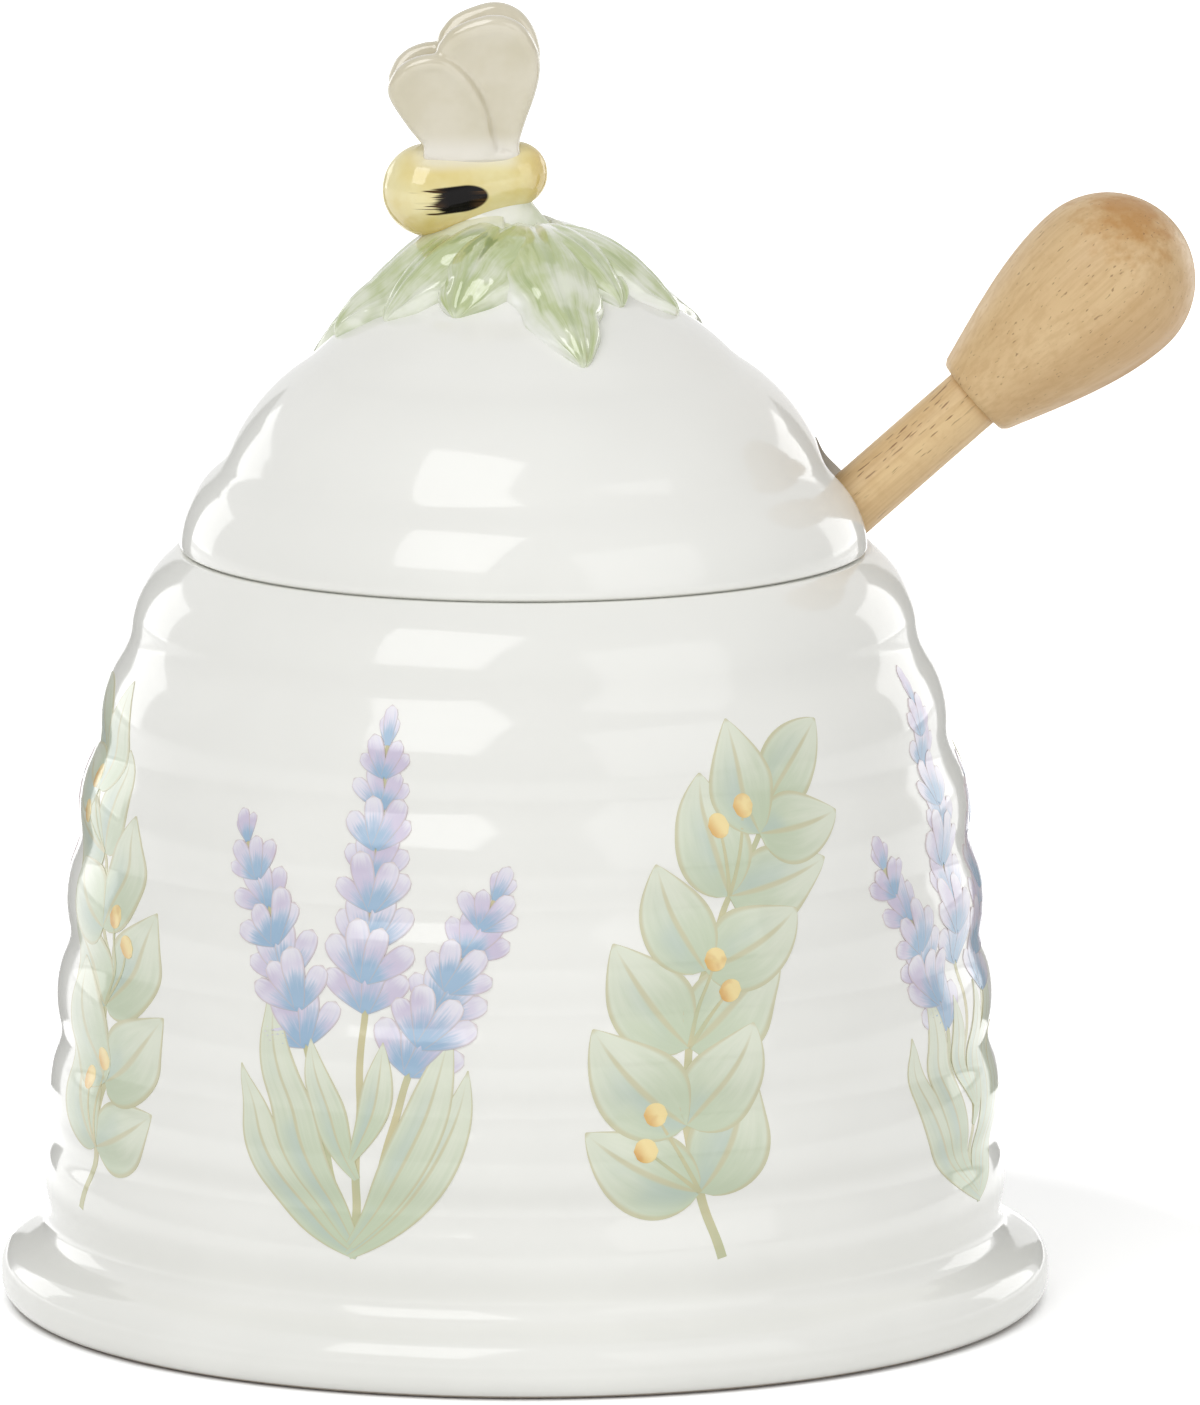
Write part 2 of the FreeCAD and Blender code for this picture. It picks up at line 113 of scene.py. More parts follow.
# Leaves: azimuth in degrees, reach from and to, half width, sideways bend, relief at root, middle and tip
LEAVES = {
    "leaf_front": (-75.0, 2.0, 20.8, 5.4, 1.0, 1.0, 2.5, 1.3),
    "leaf_left": (-178.0, 2.0, 20.2, 6.6, 0.6, 2.2, 3.5, 1.7),
    "leaf_right": (-6.0, 2.0, 16.6, 5.2, -0.6, 0.4, 2.3, 1.2),
    "leaf_left_mid": (-152.0, 2.0, 16.4, 5.6, -0.8, 1.2, 2.9, 1.4),
    "leaf_front_left": (-117.0, 2.0, 14.4, 6.6, -0.8, 1.0, 2.4, 1.2),
    "leaf_right_mid": (-44.0, 2.0, 13.6, 5.0, 0.8, 0.8, 2.0, 1.0),
    "leaf_back": (92.0, 2.0, 20.4, 7.4, -1.0, 1.4, 2.5, 1.3),
    "leaf_back_left": (150.0, 3.0, 25.4, 6.6, 1.2, 2.2, 2.6, 1.4),
    "leaf_back_right": (38.0, 3.0, 23.2, 6.2, -1.2, 1.2, 2.0, 1.2),
}
LEAF_GRID = (64, 44)
LEAF_BASE_WIDTH = 0.34
LEAF_FULLNESS = 0.7
LEAF_WIDEST = 1.2
# Waves of the leaf's outline: share of its width, and rate along it
LEAF_WAVES = (0.07, 13), (0.035, 29)
LEAF_EDGE = 0.75
# How sharply the leaf rolls under at its sides and at its tip
LEAF_ROLL = (5, 14)
LEAF_TUCK = 0.35
LEAF_UNDERSIDE = -1.0
# Height, place across and spread of the raised lip, the hollow inside it and the middle vein
LEAF_LIP = (0.65, 0.82, 0.12)
LEAF_HOLLOW = (0.35, 0.55, 0.25)
LEAF_VEIN = (0.45, 0.0, 0.075)
# The lip's share at the root and what it gains towards the tip, and how much of the vein is lost there
LEAF_LIP_SHARES = (0.3, 0.7)
LEAF_VEIN_LOSS = 0.55
# Side veins: depth, number and slant. Ripple of the rim: height, rate and how soon it starts
LEAF_SIDE_VEINS = (0.07, 6.5, 1.5)
LEAF_RIPPLE = (0.42, 11, 2.5)
# Rise of the leaves' roots around the bee: height, middle, half length and half width
COLLAR = (0.5, -3.5, 6.5, 5.0)
# Half the run over which the dome's slope is taken
SLOPE_REACH = 0.3

# Bee: middle and radius of its two rounds, and steps round the rear one and the front one
ABDOMEN = (Vector((-10.1, 0.0, 119.35)), 5.0)
HEAD = (Vector((-1.0, 0.0, 121.05)), 3.5)
ROUND_STEPS = (24, 16)
MARK_CENTRE = (-6.5, 118.95)
MARK_HALF = (2.75, 1.5)
MARK_SLANT = 0.1
WING_ROOT = (1.6, 123.0)
WING_TILT = 14.0
FOREWING = [(-4.6, 122.6), (-7.2, 129.0), (-9.2, 134.6), (-8.6, 136.6), (-6.9, 138.1), (-3.4, 139.2),
            (-0.6, 138.4), (1.2, 136.0), (1.75, 133.2), (1.2, 130.2), (0.2, 127.2), (-0.5, 124.6),
            (-0.6, 122.6)]
HINDWING = [(-10.2, 122.6), (-10.7, 124.6), (-12.4, 126.9), (-14.4, 130.4), (-14.0, 132.6), (-12.7, 134.1),
            (-10.9, 134.9), (-9.0, 135.0), (-7.2, 134.0), (-5.4, 132.0), (-4.0, 129.3), (-3.4, 126.5),
            (-3.2, 122.6)]
WING_POINTS = 120
WING_STEP = 0.8
WING_DEPTH = 1.0
# Section of a wing lobe: depth, and share of its outline
WING_PILLOW = [(-0.78, 0.45), (-0.86, 0.68), (-1.0, 0.82), (-0.86, 0.93), (-0.45, 0.985), (0.0, 1.0),
               (0.45, 0.985), (0.86, 0.93), (1.0, 0.82), (0.86, 0.68), (0.78, 0.45)]
# Soft foot of the wings: half sizes, place from the wing's root, points round it and rings along it
WING_FOOT = (5.1, 1.5, 1.1)
WING_FOOT_PLACE = (-5.5, 0.5, 0.3)
WING_FOOT_GRID = (40, 13)
WING_FOOT_SPAN = (0.02, 0.96)
# Mound under the bee: height, middle, half length, half width and slant of each ring
MOUND_RINGS = [(109.0, -4.6, 10.5, 9.0, 0.22), (112.0, -4.8, 9.0, 7.0, 0.25), (114.3, -5.0, 7.2, 4.7, 0.28),
               (116.2, -5.0, 5.9, 3.1, 0.30), (118.5, -5.0, 5.2, 2.2, 0.26)]
CLAY_SIDES = 48
# Grain of the kneaded clay and passes of smoothing
BEE_CLAY = (0.28, 6)
MOUND_CLAY = (0.3, 12)
WING_CLAY = (0.22, 10)

# Dipper
DIPPER_ANGLE = 41.6
DIPPER_AT_LIP = Vector((34.77, 0.0, 85.66))
SHAFT_RADIUS = 3.42
SHAFT_STEP = 2.0
TENON = 1
KNOB_START = 17.3
KNOB_NECK = (4.95, 0.5)
KNOB_NECK_ROUND = 0.4
KNOB_FLARE = 0.34
KNOB_WIDEST = (9.35, 18.8)
KNOB_LENGTH = 28.2
KNOB_STEPS = (48, 36)
KNOB_END_STEP = 0.8
KNOB_NECK_STEP = 0.25
HEAD_TOP = -72.0
HEAD_EGG = [(5.0, 0.0), (8.9, 5.0), (11.4, 13.0), (10.7, 21.5), (7.6, 27.8), (4.5, 30.0)]
HEAD_CORE = 5.6
# Grooves of the honey head: first, pitch, width and number
GROOVES = (3.6, 4.3, 2.1, 6)
DISC_ROUND = 0.35
DISC_STEPS = 6
EGG_STEP = 0.3
HEAD_END_STEP = 1.0
DIPPER_SIDES = 96

# Printed border of standing sprigs, unrolled at a reference radius: lavender and leafy sprays in turn
PRINT_RADIUS = 48.0
# Lowest and highest place on the wall, and the step between
PRINT_WALL = (9.2, 79.5, 0.25)
PRINT_DEPTH = 0.25
# Spacing of a motif's points, and its least number of them along and across
PRINT_STEP = 0.5
PRINT_LEAST = (8, 4)
# How much higher one motif lies than the next where they overlap
PRINT_LAYER = 0.012
PRINT_CREASE = 50.0
PRINT_SEED = 5
STEM_STEP = 0.8
STEM_TAPER = 0.45
STEM_ACROSS = (-1, -0.33, 0.33, 1)
# Half width and lift of each kind of stem
LAVENDER_RIBBON = (0.45, 0.016)
SPRAY_RIBBON = (0.5, 0.03)
STALK_RIBBON = (0.24, 0.085)
SPRIG_PAIRS = 4
LEAF_LIFT = 0.05
# Spread of sizes and of headings in degrees, from motif to motif
MOTIF_SIZES = (0.9, 1.1)
LEAF_SWAY = (-5, 5)
FLORET_SWAY = (-6, 6)
LAVENDER_PLACE = -17.0
LAVENDER_FOOT_Z = 15.5
# How far the foot of each leaf lies past the middle
LEAF_CROSSING = 0.6
# Lavender stems: where each leaves the foot, sideways reach and height of its tip, length of its flowers
LAVENDER_STEMS = [(0.0, 1.5, 67.0, 27.0), (-1.2, -14.5, 56.0, 22.0), (1.2, 14.0, 51.5, 20.0)]
# Share of its sideways reach that a stem has halfway up
STEM_SWING = 0.34
# Florets: length and half width, how much of their turn they bend back, and lift
FLORET = (6.4, 2.0)
FLORET_CURL = 0.35
FLORET_LIFT = 0.06
# Turn and size of each floret in a whorl and at the tip, and how the whorls shrink towards it
WHORL = ((58, 0.92), (-58, 0.92), (22, 1.0), (-22, 1.0))
TIP_WHORL = ((20, 0.8), (-20, 0.8), (0, 1.0))
WHORL_STEP = 3.5
WHORL_SHRINK = (0.42, 1.5)
# Slender leaves at the lavender's foot: height, heading, bend, length, half width
LAVENDER_LEAVES = [(14.0, 148.0, -48.0, 23.0, 2.3), (15.0, 124.0, -30.0, 27.0, 2.4),
                   (14.0, 34.0, 46.0, 22.0, 2.3), (15.0, 58.0, 28.0, 26.0, 2.4),
                   (22.0, 118.0, -24.0, 15.0, 1.8), (24.0, 60.0, 26.0, 14.0, 1.7)]
# Leafy spray: its place, the line of its stem, and its pairs of leaves
SPRAY_PLACE = 20.0
SPRAY_STEM = [(0.0, 13.5), (-3.2, 26.0), (-2.4, 39.0), (2.6, 51.0), (9.0, 60.5)]
SPRAY_PAIRS = 6
# Where the pairs start along the stem and how far they run, where they are fullest and how they shrink
SPRAY_SPAN = (0.14, 0.8)
SPRAY_FULLEST = (0.4, 0.38)
# Length and half width of a leaf, spread of sizes, turns and bends, and size and bend of the end leaf
SPRAY_LEAF = (14.5, 5.2)
SPRAY_SIZES = (0.92, 1.08)
SPRAY_TURNS = (50, 62)
SPRAY_BENDS = (14, 34)
SPRAY_END = (0.8, 20.0)
BERRY = 1.25
BERRY_LIFT = 0.1
# Berry stalks: turn from the stem, and length
BERRY_STALKS = ((12, 9.5), (34, 7.4))

# Floor, light and camera, in metres
FLOOR_HALF = 6.0
FLOOR_CONTACT = (0.0546, 0.0562)
FLOOR_FADE = (0.050, 0.128)
FLOOR_GLOW = 0.36
WORLD_LIGHT = 0.48
LIGHT_AIM = Vector((0.0, 0.0, 0.06))
# Soft boxes: azimuth (0 is the camera's side), rise, distance, size and glow
SOFT_BOXES = {
    "key": (-29.0, 43.0, 1.2, (0.68, 0.88), 2.55),
    "front_fill": (42.0, 22.0, 1.5, (1.1, 1.1), 0.95),
    "left_back": (-137.0, 10.0, 1.0, (0.40, 0.40), 1.5),
    "right_back": (135.0, 10.0, 1.0, (0.42, 0.40), 1.6),
}
# Grey cards: near and far edge, distance behind the pot's axis, height
GREY_CARDS = {"left_card": (-0.074, -0.118, 0.12, 0.135), "right_card": (0.080, 0.118, 0.12, 0.135)}
CAMERA_AIM = Vector((8.0, 0.0, 64.2)) * MM
CAMERA_DISTANCE = 1.88
CAMERA_RISE = 9.8
CAMERA_SENSOR = 36.0
FRAME_HEIGHT = 149.6 * MM


def srgb(red, green, blue):
    """A colour as it looks on screen, 0 to 255, for a shader."""
    linear = []
    for part in (red, green, blue):
        c = part / 255
        linear.append(c / 12.92 if c <= 0.04045 else ((c + 0.055) / 1.055) ** 2.4)
    return (*linear, 1.0)


# Colours: a pair is the two ends of an uneven tone
PORCELAIN = srgb(242, 242, 237), srgb(246, 246, 241)
# Bare clay at the foot's edge, dark enough to paint the contact shade where the pot meets the floor
UNGLAZED_AND_CONTACT_SHADE = srgb(176, 166, 154)
LEAF_GREENS = srgb(195, 205, 154), srgb(177, 191, 131)
LEAF_DEEP = srgb(149, 168, 100)
LEAF_BARE = srgb(244, 245, 239)
# Darker green for the crease along a leaf's edge: painted shade
LEAF_CREASE_SHADE = srgb(172, 186, 134)
BEE_YELLOWS = srgb(239, 227, 168), srgb(230, 211, 135)
BEE_HONEY = srgb(222, 188, 100)
BEE_TOP = srgb(240, 236, 220)
MARK_INKS = srgb(12, 8, 8), srgb(92, 66, 38)
MOUND_TONES = srgb(240, 241, 234), srgb(196, 208, 160)
WING_CREAMS = srgb(217, 209, 186), srgb(206, 197, 168)
WING_FOOT_PALE = srgb(232, 227, 216)
KNOB_TONES = srgb(224, 194, 147), srgb(202, 165, 115)
DOWEL_TONES = srgb(230, 201, 152), srgb(209, 173, 122)
WOOD_FIBRE = srgb(184, 145, 96)
WOOD_MOTTLE = srgb(194, 154, 102)
WOOD_PORE = srgb(126, 86, 48)
END_GRAIN_AMBER = srgb(186, 132, 64)
SAGES = srgb(198, 210, 182), srgb(226, 231, 212)
SAGE_SHADE = srgb(182, 200, 194)
SAGE_LINE = srgb(204, 197, 158)
LILACS = srgb(229, 226, 238), srgb(209, 200, 221)
FLORET_BLUE = srgb(158, 187, 213)
FLORET_TIP = srgb(238, 236, 241)
FLORET_LINE = srgb(205, 187, 182)
STEM_TANS = srgb(209, 201, 160), srgb(194, 197, 158)
BERRY_YELLOWS = srgb(246, 224, 160), srgb(226, 180, 104)
BERRY_SHADE = srgb(206, 148, 80)
PAPER_WHITES = srgb(248, 248, 248), srgb(251, 251, 251)
CARD_GREYS = srgb(168, 168, 165), srgb(176, 176, 173)

# Where a cloud of noise is thin and where it is full, and the roughness of each finish there
CLOUD_SPAN = (0.3, 0.7)
GLAZE_GLOSS = (0.07, 0.11)
GLAZE_CLOUD = 90.0
LEAF_GLOSS = (0.04, 0.08)
BEE_GLOSS = (0.3, 0.4)
MOUND_GLOSS = (0.06, 0.1)
WING_GLOSS = (0.06, 0.11)
WOOD_GLOSS = (0.34, 0.46)
UNGLAZED_ROUGHER = 0.6
# Heights and places of the painted tones, in metres
UNGLAZED_Z = (0.0005, 0.0003)
BEE_LOW_Z = (0.1180, 0.1150)
BEE_FRONT_X = (-0.0005, 0.0022)
BEE_TOP_Z = (0.1216, 0.1230)
BEE_TOP_X = (0.0005, -0.0025), (-0.0130, -0.0095)
MOUND_GREEN_X = (-0.0035, 0.0005)
WING_FOOT_Z = (0.1262, 0.1238)
# Wood: how often pores end along the grain, and how much sparser they are
KNOB_PORES = (1050.0, 0.045)
DOWEL_PORES = (480.0, 0.0)
# Where the end grain shows on the knob, and how far round it
END_GRAIN = Vector((64.5, -4.5, 117.5)) * MM
END_GRAIN_REACH = (0.0075, 0.001)


# Node trees
class Wire:
    """A socket that adds Math nodes when it is used in an expression."""

    def __init__(self, nodes, socket):
        self.nodes = nodes
        self.socket = socket

    def __add__(self, other):
        return self.nodes.maths("ADD", self, other)

    def __mul__(self, other):
        return self.nodes.maths("MULTIPLY", self, other)

    def __sub__(self, other):
        return self.nodes.maths("SUBTRACT", self, other)

    def __rsub__(self, other):
        return self.nodes.maths("SUBTRACT", other, self)

    def __truediv__(self, other):
        return self.nodes.maths("DIVIDE", self, other)

    def __rtruediv__(self, other):
        return self.nodes.maths("DIVIDE", other, self)

    __radd__ = __add__
    __rmul__ = __mul__


class Nodes:
    """A node tree that is built from wires."""

    def __init__(self, tree):
        self.tree = tree

    def node(self, kind, settings=None, sockets=None, out=0):
        """Adds a node: its settings, then the values or links of its sockets. Gives one output, or all."""
        made = self.tree.nodes.new(kind)
        for key, value in (settings or {}).items():
            setattr(made, key, value)
        for key, value in (sockets or {}).items():
            if isinstance(value, Wire):
                self.tree.links.new(value.socket, made.inputs[key])
            else:
                made.inputs[key].default_value = value
        if out is None:
            return [Wire(self, socket) for socket in made.outputs]
        return Wire(self, made.outputs[out])

    def maths(self, operation, *values):
        return self.node("ShaderNodeMath", {"operation": operation}, dict(enumerate(values)))

    def absolute(self, wire):
        return self.maths("ABSOLUTE", wire)

    def greatest(self, a, b):
        return self.maths("MAXIMUM", a, b)

    def parts(self, wire):
        return self.node("ShaderNodeSeparateXYZ", None, {0: wire}, None)

    def seen(self):
        """1 for what is looked at, straight, mirrored or through glass, and 0 for light on the object."""
        seen = self.node("ShaderNodeLightPath", out="Is Camera Ray")
        for ray in ("Is Glossy Ray", "Is Transmission Ray"):
            seen = self.greatest(seen, self.node("ShaderNodeLightPath", out=ray))
        return seen


class Finish(Nodes):
    """A material with one Principled shader."""

    def __init__(self, name, **constants):
        self.material = bpy.data.materials.new(name)
        self.material.use_nodes = True
        super().__init__(self.material.node_tree)
        self.shader = self.tree.nodes["Principled BSDF"]
        for socket, value in constants.items():
            self.shader.inputs[socket.replace("_", " ")].default_value = value

    def feed(self, socket, wire):
        self.tree.links.new(wire.socket, self.shader.inputs[socket])

    def here(self):
        return self.node("ShaderNodeTexCoord", out="Object")

    def skin(self):
        """The piece's own surface map."""
        return self.node("ShaderNodeUVMap", {"uv_map": "skin"})

    def on_skin(self):
        """Places along and across the piece, and how far each is from its middle line."""
        along, across, rest = self.parts(self.skin())
        return along, across, self.absolute(across * 2.0 - 1.0)

    def place(self, wire, scale=(1, 1, 1), turn=(0, 0, 0)):
        return self.node("ShaderNodeMapping", None, {"Vector": wire, "Scale": scale, "Rotation": turn})

    def noise(self, at, scale, detail=3.0, rough=0.5, twist=0.0):
        return self.node("ShaderNodeTexNoise", None, {"Vector": at, "Scale": scale, "Detail": detail,
                                                      "Roughness": rough, "Distortion": twist})

    def ease(self, wire, low, high, start=0.0, end=1.0):
        """Goes smoothly from start to end as the wire goes from low to high."""
        return self.node("ShaderNodeMapRange", {"interpolation_type": "SMOOTHSTEP"},
                         {"Value": wire, "From Min": low, "From Max": high, "To Min": start, "To Max": end})

    def gloss(self, cloud, roughness):
        return self.ease(cloud, *CLOUD_SPAN, *roughness)

    def blend(self, factor, a, b):
        """Mixes two colours."""
        return self.node("ShaderNodeMix", {"data_type": "RGBA"}, {0: factor, 6: a, 7: b}, out=2)

    def bump(self, height, strength, distance):
        self.feed("Normal", self.node("ShaderNodeBump", None, {"Height": height, "Strength": strength,
                                                               "Distance": distance}))


class Shaping(Nodes):
    """A Geometry Nodes tree with named inputs, one of them its Finish."""

    def __init__(self, name, inputs):
        super().__init__(bpy.data.node_groups.new(name, "GeometryNodeTree"))
        for title, kind in inputs.items():
            self.tree.interface.new_socket(title, in_out="INPUT", socket_type="NodeSocket" + kind)
        self.tree.interface.new_socket("Shape", in_out="OUTPUT", socket_type="NodeSocketGeometry")
        self.given = dict(zip(inputs, self.node("NodeGroupInput", out=None)))

    def sample(self, geometry, place, index, clamp):
        """The position of one point of a geometry, as its three numbers."""
        return self.parts(self.node("GeometryNodeSampleIndex",
                                    {"data_type": "FLOAT_VECTOR", "domain": "POINT", "clamp": clamp},
                                    {"Geometry": geometry, "Value": place, "Index": index}))

    def round_axis(self, geometry, radius, angle, height):
        """Moves the points of a geometry to places round Z."""
        spot = self.node("ShaderNodeCombineXYZ", None, {0: radius * self.maths("COSINE", angle),
                                                        1: radius * self.maths("SINE", angle), 2: height})
        return self.node("GeometryNodeSetPosition", None, {"Geometry": geometry, "Position": spot})

    def close(self, shape):
        """Ends the tree with the shape realised and in its finish."""
        real = self.node("GeometryNodeRealizeInstances", None, {0: shape})
        coat = self.node("GeometryNodeSetMaterial", None,
                         {"Geometry": real, "Material": self.given["Finish"]})
        self.node("NodeGroupOutput", None, {0: coat}, None)

    def run(self, name, mesh, values):
        """The plain mesh that the tree makes of a mesh and the values of its inputs."""
        holder = in_scene(name + "_holder", mesh)
        shaping = holder.modifiers.new(self.tree.name, "NODES")
        shaping.node_group = self.tree
        for item in self.tree.interface.items_tree:
            if item.in_out == "INPUT" and item.name in values:
                shaping[item.identifier] = values[item.name]
        return baked(holder, name)


# Finishes
def porcelain_finish():
    """White porcelain under a clear glossy glaze, with a faint unevenness, bare where the pot stands; the
    bare edge is a dark grey-brown that paints the shade where the pot meets the floor.
    """
    f = Finish("white_glaze", Specular_IOR_Level=0.5)
    here = f.here()
    x, y, z = f.parts(here)
    cloud = f.noise(here, 38.0, 2.0)
    white = f.blend(f.ease(cloud, 0.35, 0.7), *PORCELAIN)
    # The bare bottom edge of the foot, which is also painted shade where the pot meets the floor
    bare_with_painted_light = f.ease(z + (cloud - 0.5) * 0.0001, *UNGLAZED_Z)
    f.feed("Base Color", f.blend(bare_with_painted_light, white, UNGLAZED_AND_CONTACT_SHADE))
    f.feed("Roughness", f.gloss(f.noise(here, GLAZE_CLOUD), GLAZE_GLOSS) + bare_with_painted_light * UNGLAZED_ROUGHER)
    f.bump(f.noise(here, 260.0, 1.0), 0.05, 0.00012)
    return f.material


def leaf_finish():
    """Green washed thinly over white clay under a thick glaze, with the rims and roots left white; the rims
    are whiter on one side of each leaf as a painted highlight, and a darker green line in the crease at the
    edge is painted shade.
    """
    f = Finish("leaf_green_wash", Specular_IOR_Level=0.5, Coat_Weight=1.0, Coat_Roughness=0.06,
               Coat_IOR=1.7)
    along, across, side = f.on_skin()
    brush = f.noise(f.place(f.skin(), (1.7, 9.0, 1.0)), 1.6, 4.0, 0.55, 0.4)
    cloud = f.noise(f.here(), 190.0)
    # Rims left white, and whiter on one side of each leaf: a painted highlight
    rim = f.ease(side + (brush - 0.5) * 0.4, 0.7, 0.97) * f.ease(across, 0.62, 0.35, 0.3, 0.9)
    tip = f.ease(along + (brush - 0.5) * 0.12, 0.92, 1.0) * 0.3
    root = f.ease(along + (cloud - 0.5) * 0.3, 0.2, 0.02)
    bare_with_painted_light = f.greatest(f.greatest(rim, tip), root * 0.6)
    wash = (1.0 - bare_with_painted_light) * f.ease(cloud + (brush - 0.5) * 0.6, 0.3, 0.66, 0.42, 1.0)
    stroke = f.greatest(f.ease(side, 0.22, 0.0) * 0.5, f.ease(brush, 0.5, 0.72) * 0.7)
    deep = stroke * f.ease(along, 0.1, 0.45) * f.ease(cloud, 0.3, 0.6)
    painted = f.blend(deep, f.blend(cloud, *LEAF_GREENS), LEAF_DEEP)
    # A darker green line in the crease along the leaf's edge: painted shade
    crease_shade = f.ease(side, 0.93, 0.98) * f.ease(cloud, 0.4, 0.6)
    f.feed("Base Color", f.blend(crease_shade * 0.6, f.blend(wash, LEAF_BARE, painted), LEAF_CREASE_SHADE))
    f.feed("Roughness", f.gloss(cloud, LEAF_GLOSS))
    f.bump(brush, 0.06, 0.00015)
    return f.material


def bee_finish():
    """Honey-yellow glaze, darker honey towards the bottom and at the head end, with one brushed black mark
    on each side.
    """
    f = Finish("bee_honey_glaze", Specular_IOR_Level=0.0, Coat_Roughness=0.08, Coat_IOR=1.75)
    here = f.here()
    x, y, z = f.parts(here)
    pool = f.noise(here, 240.0)
    yellow = f.blend(f.ease(pool, 0.3, 0.72), *BEE_YELLOWS)
    # Darker honey towards the bottom and at the head end
    ends = f.greatest(f.ease(z, *BEE_LOW_Z) * 0.7, f.ease(x, *BEE_FRONT_X))
    top = f.ease(z + (pool - 0.5) * 0.001, *BEE_TOP_Z) * f.ease(x, *BEE_TOP_X[0]) * f.ease(x, *BEE_TOP_X[1])
    honey = f.blend(top * 0.7, f.blend(ends * 0.6, yellow, BEE_HONEY), BEE_TOP)
    from_mark = x - MARK_CENTRE[0] * MM
    along = from_mark / (MARK_HALF[0] * MM)
    up = (z - MARK_CENTRE[1] * MM - from_mark * MARK_SLANT) / (MARK_HALF[1] * MM)
    nose = f.greatest(along, 0.0)
    streak = f.noise(f.place(here, (90.0, 1.0, 2300.0)), 1.0, 2.0, 0.55)
    reach = (streak - 0.5) * 2.8 + f.ease(streak, 0.5, 0.66) * 0.6
    brushed_end = f.ease(along + 1.05 + reach, -0.25, 0.1) * f.ease(along, -2.2, -1.7)
    mark = f.ease(up * up + nose * nose, 1.08, 0.82) * brushed_end
    thin = f.greatest(f.ease(along, 0.15, 0.9), f.ease(along, -0.5, -1.1)) * f.ease(streak, 0.38, 0.62)
    f.feed("Base Color", f.blend(mark, honey, f.blend(thin * 0.8, *MARK_INKS)))
    f.feed("Roughness", f.gloss(pool, BEE_GLOSS))
    f.feed("Coat Weight", 0.9 - mark * 0.75)
    f.bump(pool, 0.08, 0.0002)
    return f.material


def mound_finish():
    """White glaze with a little of the leaves' green brushed over the side away from the bee."""
    f = Finish("mound_glaze", Specular_IOR_Level=0.5)
    here = f.here()
    x, y, z = f.parts(here)
    cloud = f.noise(here, 260.0)
    wash = f.ease(x + (cloud - 0.5) * 0.006, *MOUND_GREEN_X) * f.ease(cloud, 0.3, 0.6, 0.4, 1.0)
    f.feed("Base Color", f.blend(wash * 0.8, *MOUND_TONES))
    f.feed("Roughness", f.gloss(cloud, MOUND_GLOSS))
    return f.material


def wing_finish():
    """Cream glaze, uneven over the wings and paler at their foot."""
    f = Finish("wing_cream_glaze", Specular_IOR_Level=0.5, Coat_Weight=1.0, Coat_Roughness=0.05,
               Coat_IOR=1.6)
    here = f.here()
    x, y, z = f.parts(here)
    cloud = f.noise(here, 180.0)
    cream = f.blend(f.ease(cloud, *CLOUD_SPAN), *WING_CREAMS)
    f.feed("Base Color", f.blend(f.ease(z, *WING_FOOT_Z) * 0.8, cream, WING_FOOT_PALE))
    f.feed("Roughness", f.gloss(cloud, WING_GLOSS))
    f.bump(cloud, 0.06, 0.0002)
    return f.material


def wood_finish(name, tones, pore_rate, sparse):
    """Pale turned wood with fine short pores along the grain, oiled to a soft sheen."""
    f = Finish(name, Specular_IOR_Level=0.45)
    whole = f.here()
    grain = f.place(whole, turn=(0.0, -math.radians(90 - DIPPER_ANGLE), 0.0))
    figure = f.noise(f.place(grain, (80.0, 80.0, 9.0)), 1.0, 4.0, 0.55, 0.5)
    fibre = f.noise(f.place(grain, (1700.0, 1700.0, 60.0)), 1.0, 3.0, 0.6)
    mottle = f.noise(whole, 520.0, 3.0, 0.6)
    pores = f.noise(f.place(grain, (3900.0, 3900.0, pore_rate)), 1.0, 1.0, 0.4)
    patch = f.noise(f.place(grain, (220.0, 220.0, 60.0)), 1.0, 2.0)
    pore = f.ease(pores, 0.64 + sparse, 0.71 + sparse) * f.ease(patch, 0.34, 0.56)
    away = f.node("ShaderNodeVectorMath", {"operation": "DISTANCE"}, {0: whole, 1: END_GRAIN}, "Value")
    tone = f.blend(f.ease(figure, *CLOUD_SPAN), *tones)
    for share, colour in ((f.ease(fibre, 0.38, 0.7) * 0.3, WOOD_FIBRE),
                          (f.ease(mottle, 0.48, 0.72) * 0.22, WOOD_MOTTLE),
                          (f.ease(away + (mottle - 0.5) * 0.012, *END_GRAIN_REACH) * 0.8, END_GRAIN_AMBER),
                          (pore * (0.8 - sparse * 4), WOOD_PORE)):
        tone = f.blend(share, tone, colour)
    f.feed("Base Color", tone)
    f.feed("Roughness", f.gloss(fibre, WOOD_GLOSS))
    f.bump(fibre * 0.3 - pore, 0.2, 0.00015)
    return f.material


def print_finish(name, build):
    """A colour printed on the porcelain under the same glaze: build gives the colour."""
    f = Finish(name, Specular_IOR_Level=0.5)
    f.feed("Base Color", build(f))
    f.feed("Roughness", f.gloss(f.noise(f.here(), GLAZE_CLOUD), GLAZE_GLOSS))
    return f.material


def brushed(f, along, across):
    """Soft strokes that run along a printed leaf or petal."""
    return f.noise(f.place(f.skin(), (along, across, 1.0)), 1.0, 3.0, 0.55)


def printed_leaf_colour(f):
    """Pale sage, bluer along one side of the vein, with a fine tan outline and vein."""
    along, across, side = f.on_skin()
    strokes = brushed(f, 2.0, 9.0)
    cloud = f.noise(f.here(), 120.0, 2.0)
    sage = f.blend(f.ease(along + (strokes - 0.5) * 0.6, 0.05, 0.9), *SAGES)
    shade = f.ease(across, 0.5, 0.56) * f.ease(across, 0.98, 0.6) * f.ease(along, 0.95, 0.3)
    sage = f.blend(shade * 0.6 * f.ease(cloud, 0.3, 0.6), sage, SAGE_SHADE)
    vein = f.ease(side, 0.11, 0.03) * f.ease(along, 1.0, 0.7)
    edge = f.greatest(f.ease(side, 0.84, 0.95), f.ease(along, 0.96, 1.0))
    return f.blend(f.greatest(vein, edge) * 0.7, sage, SAGE_LINE)


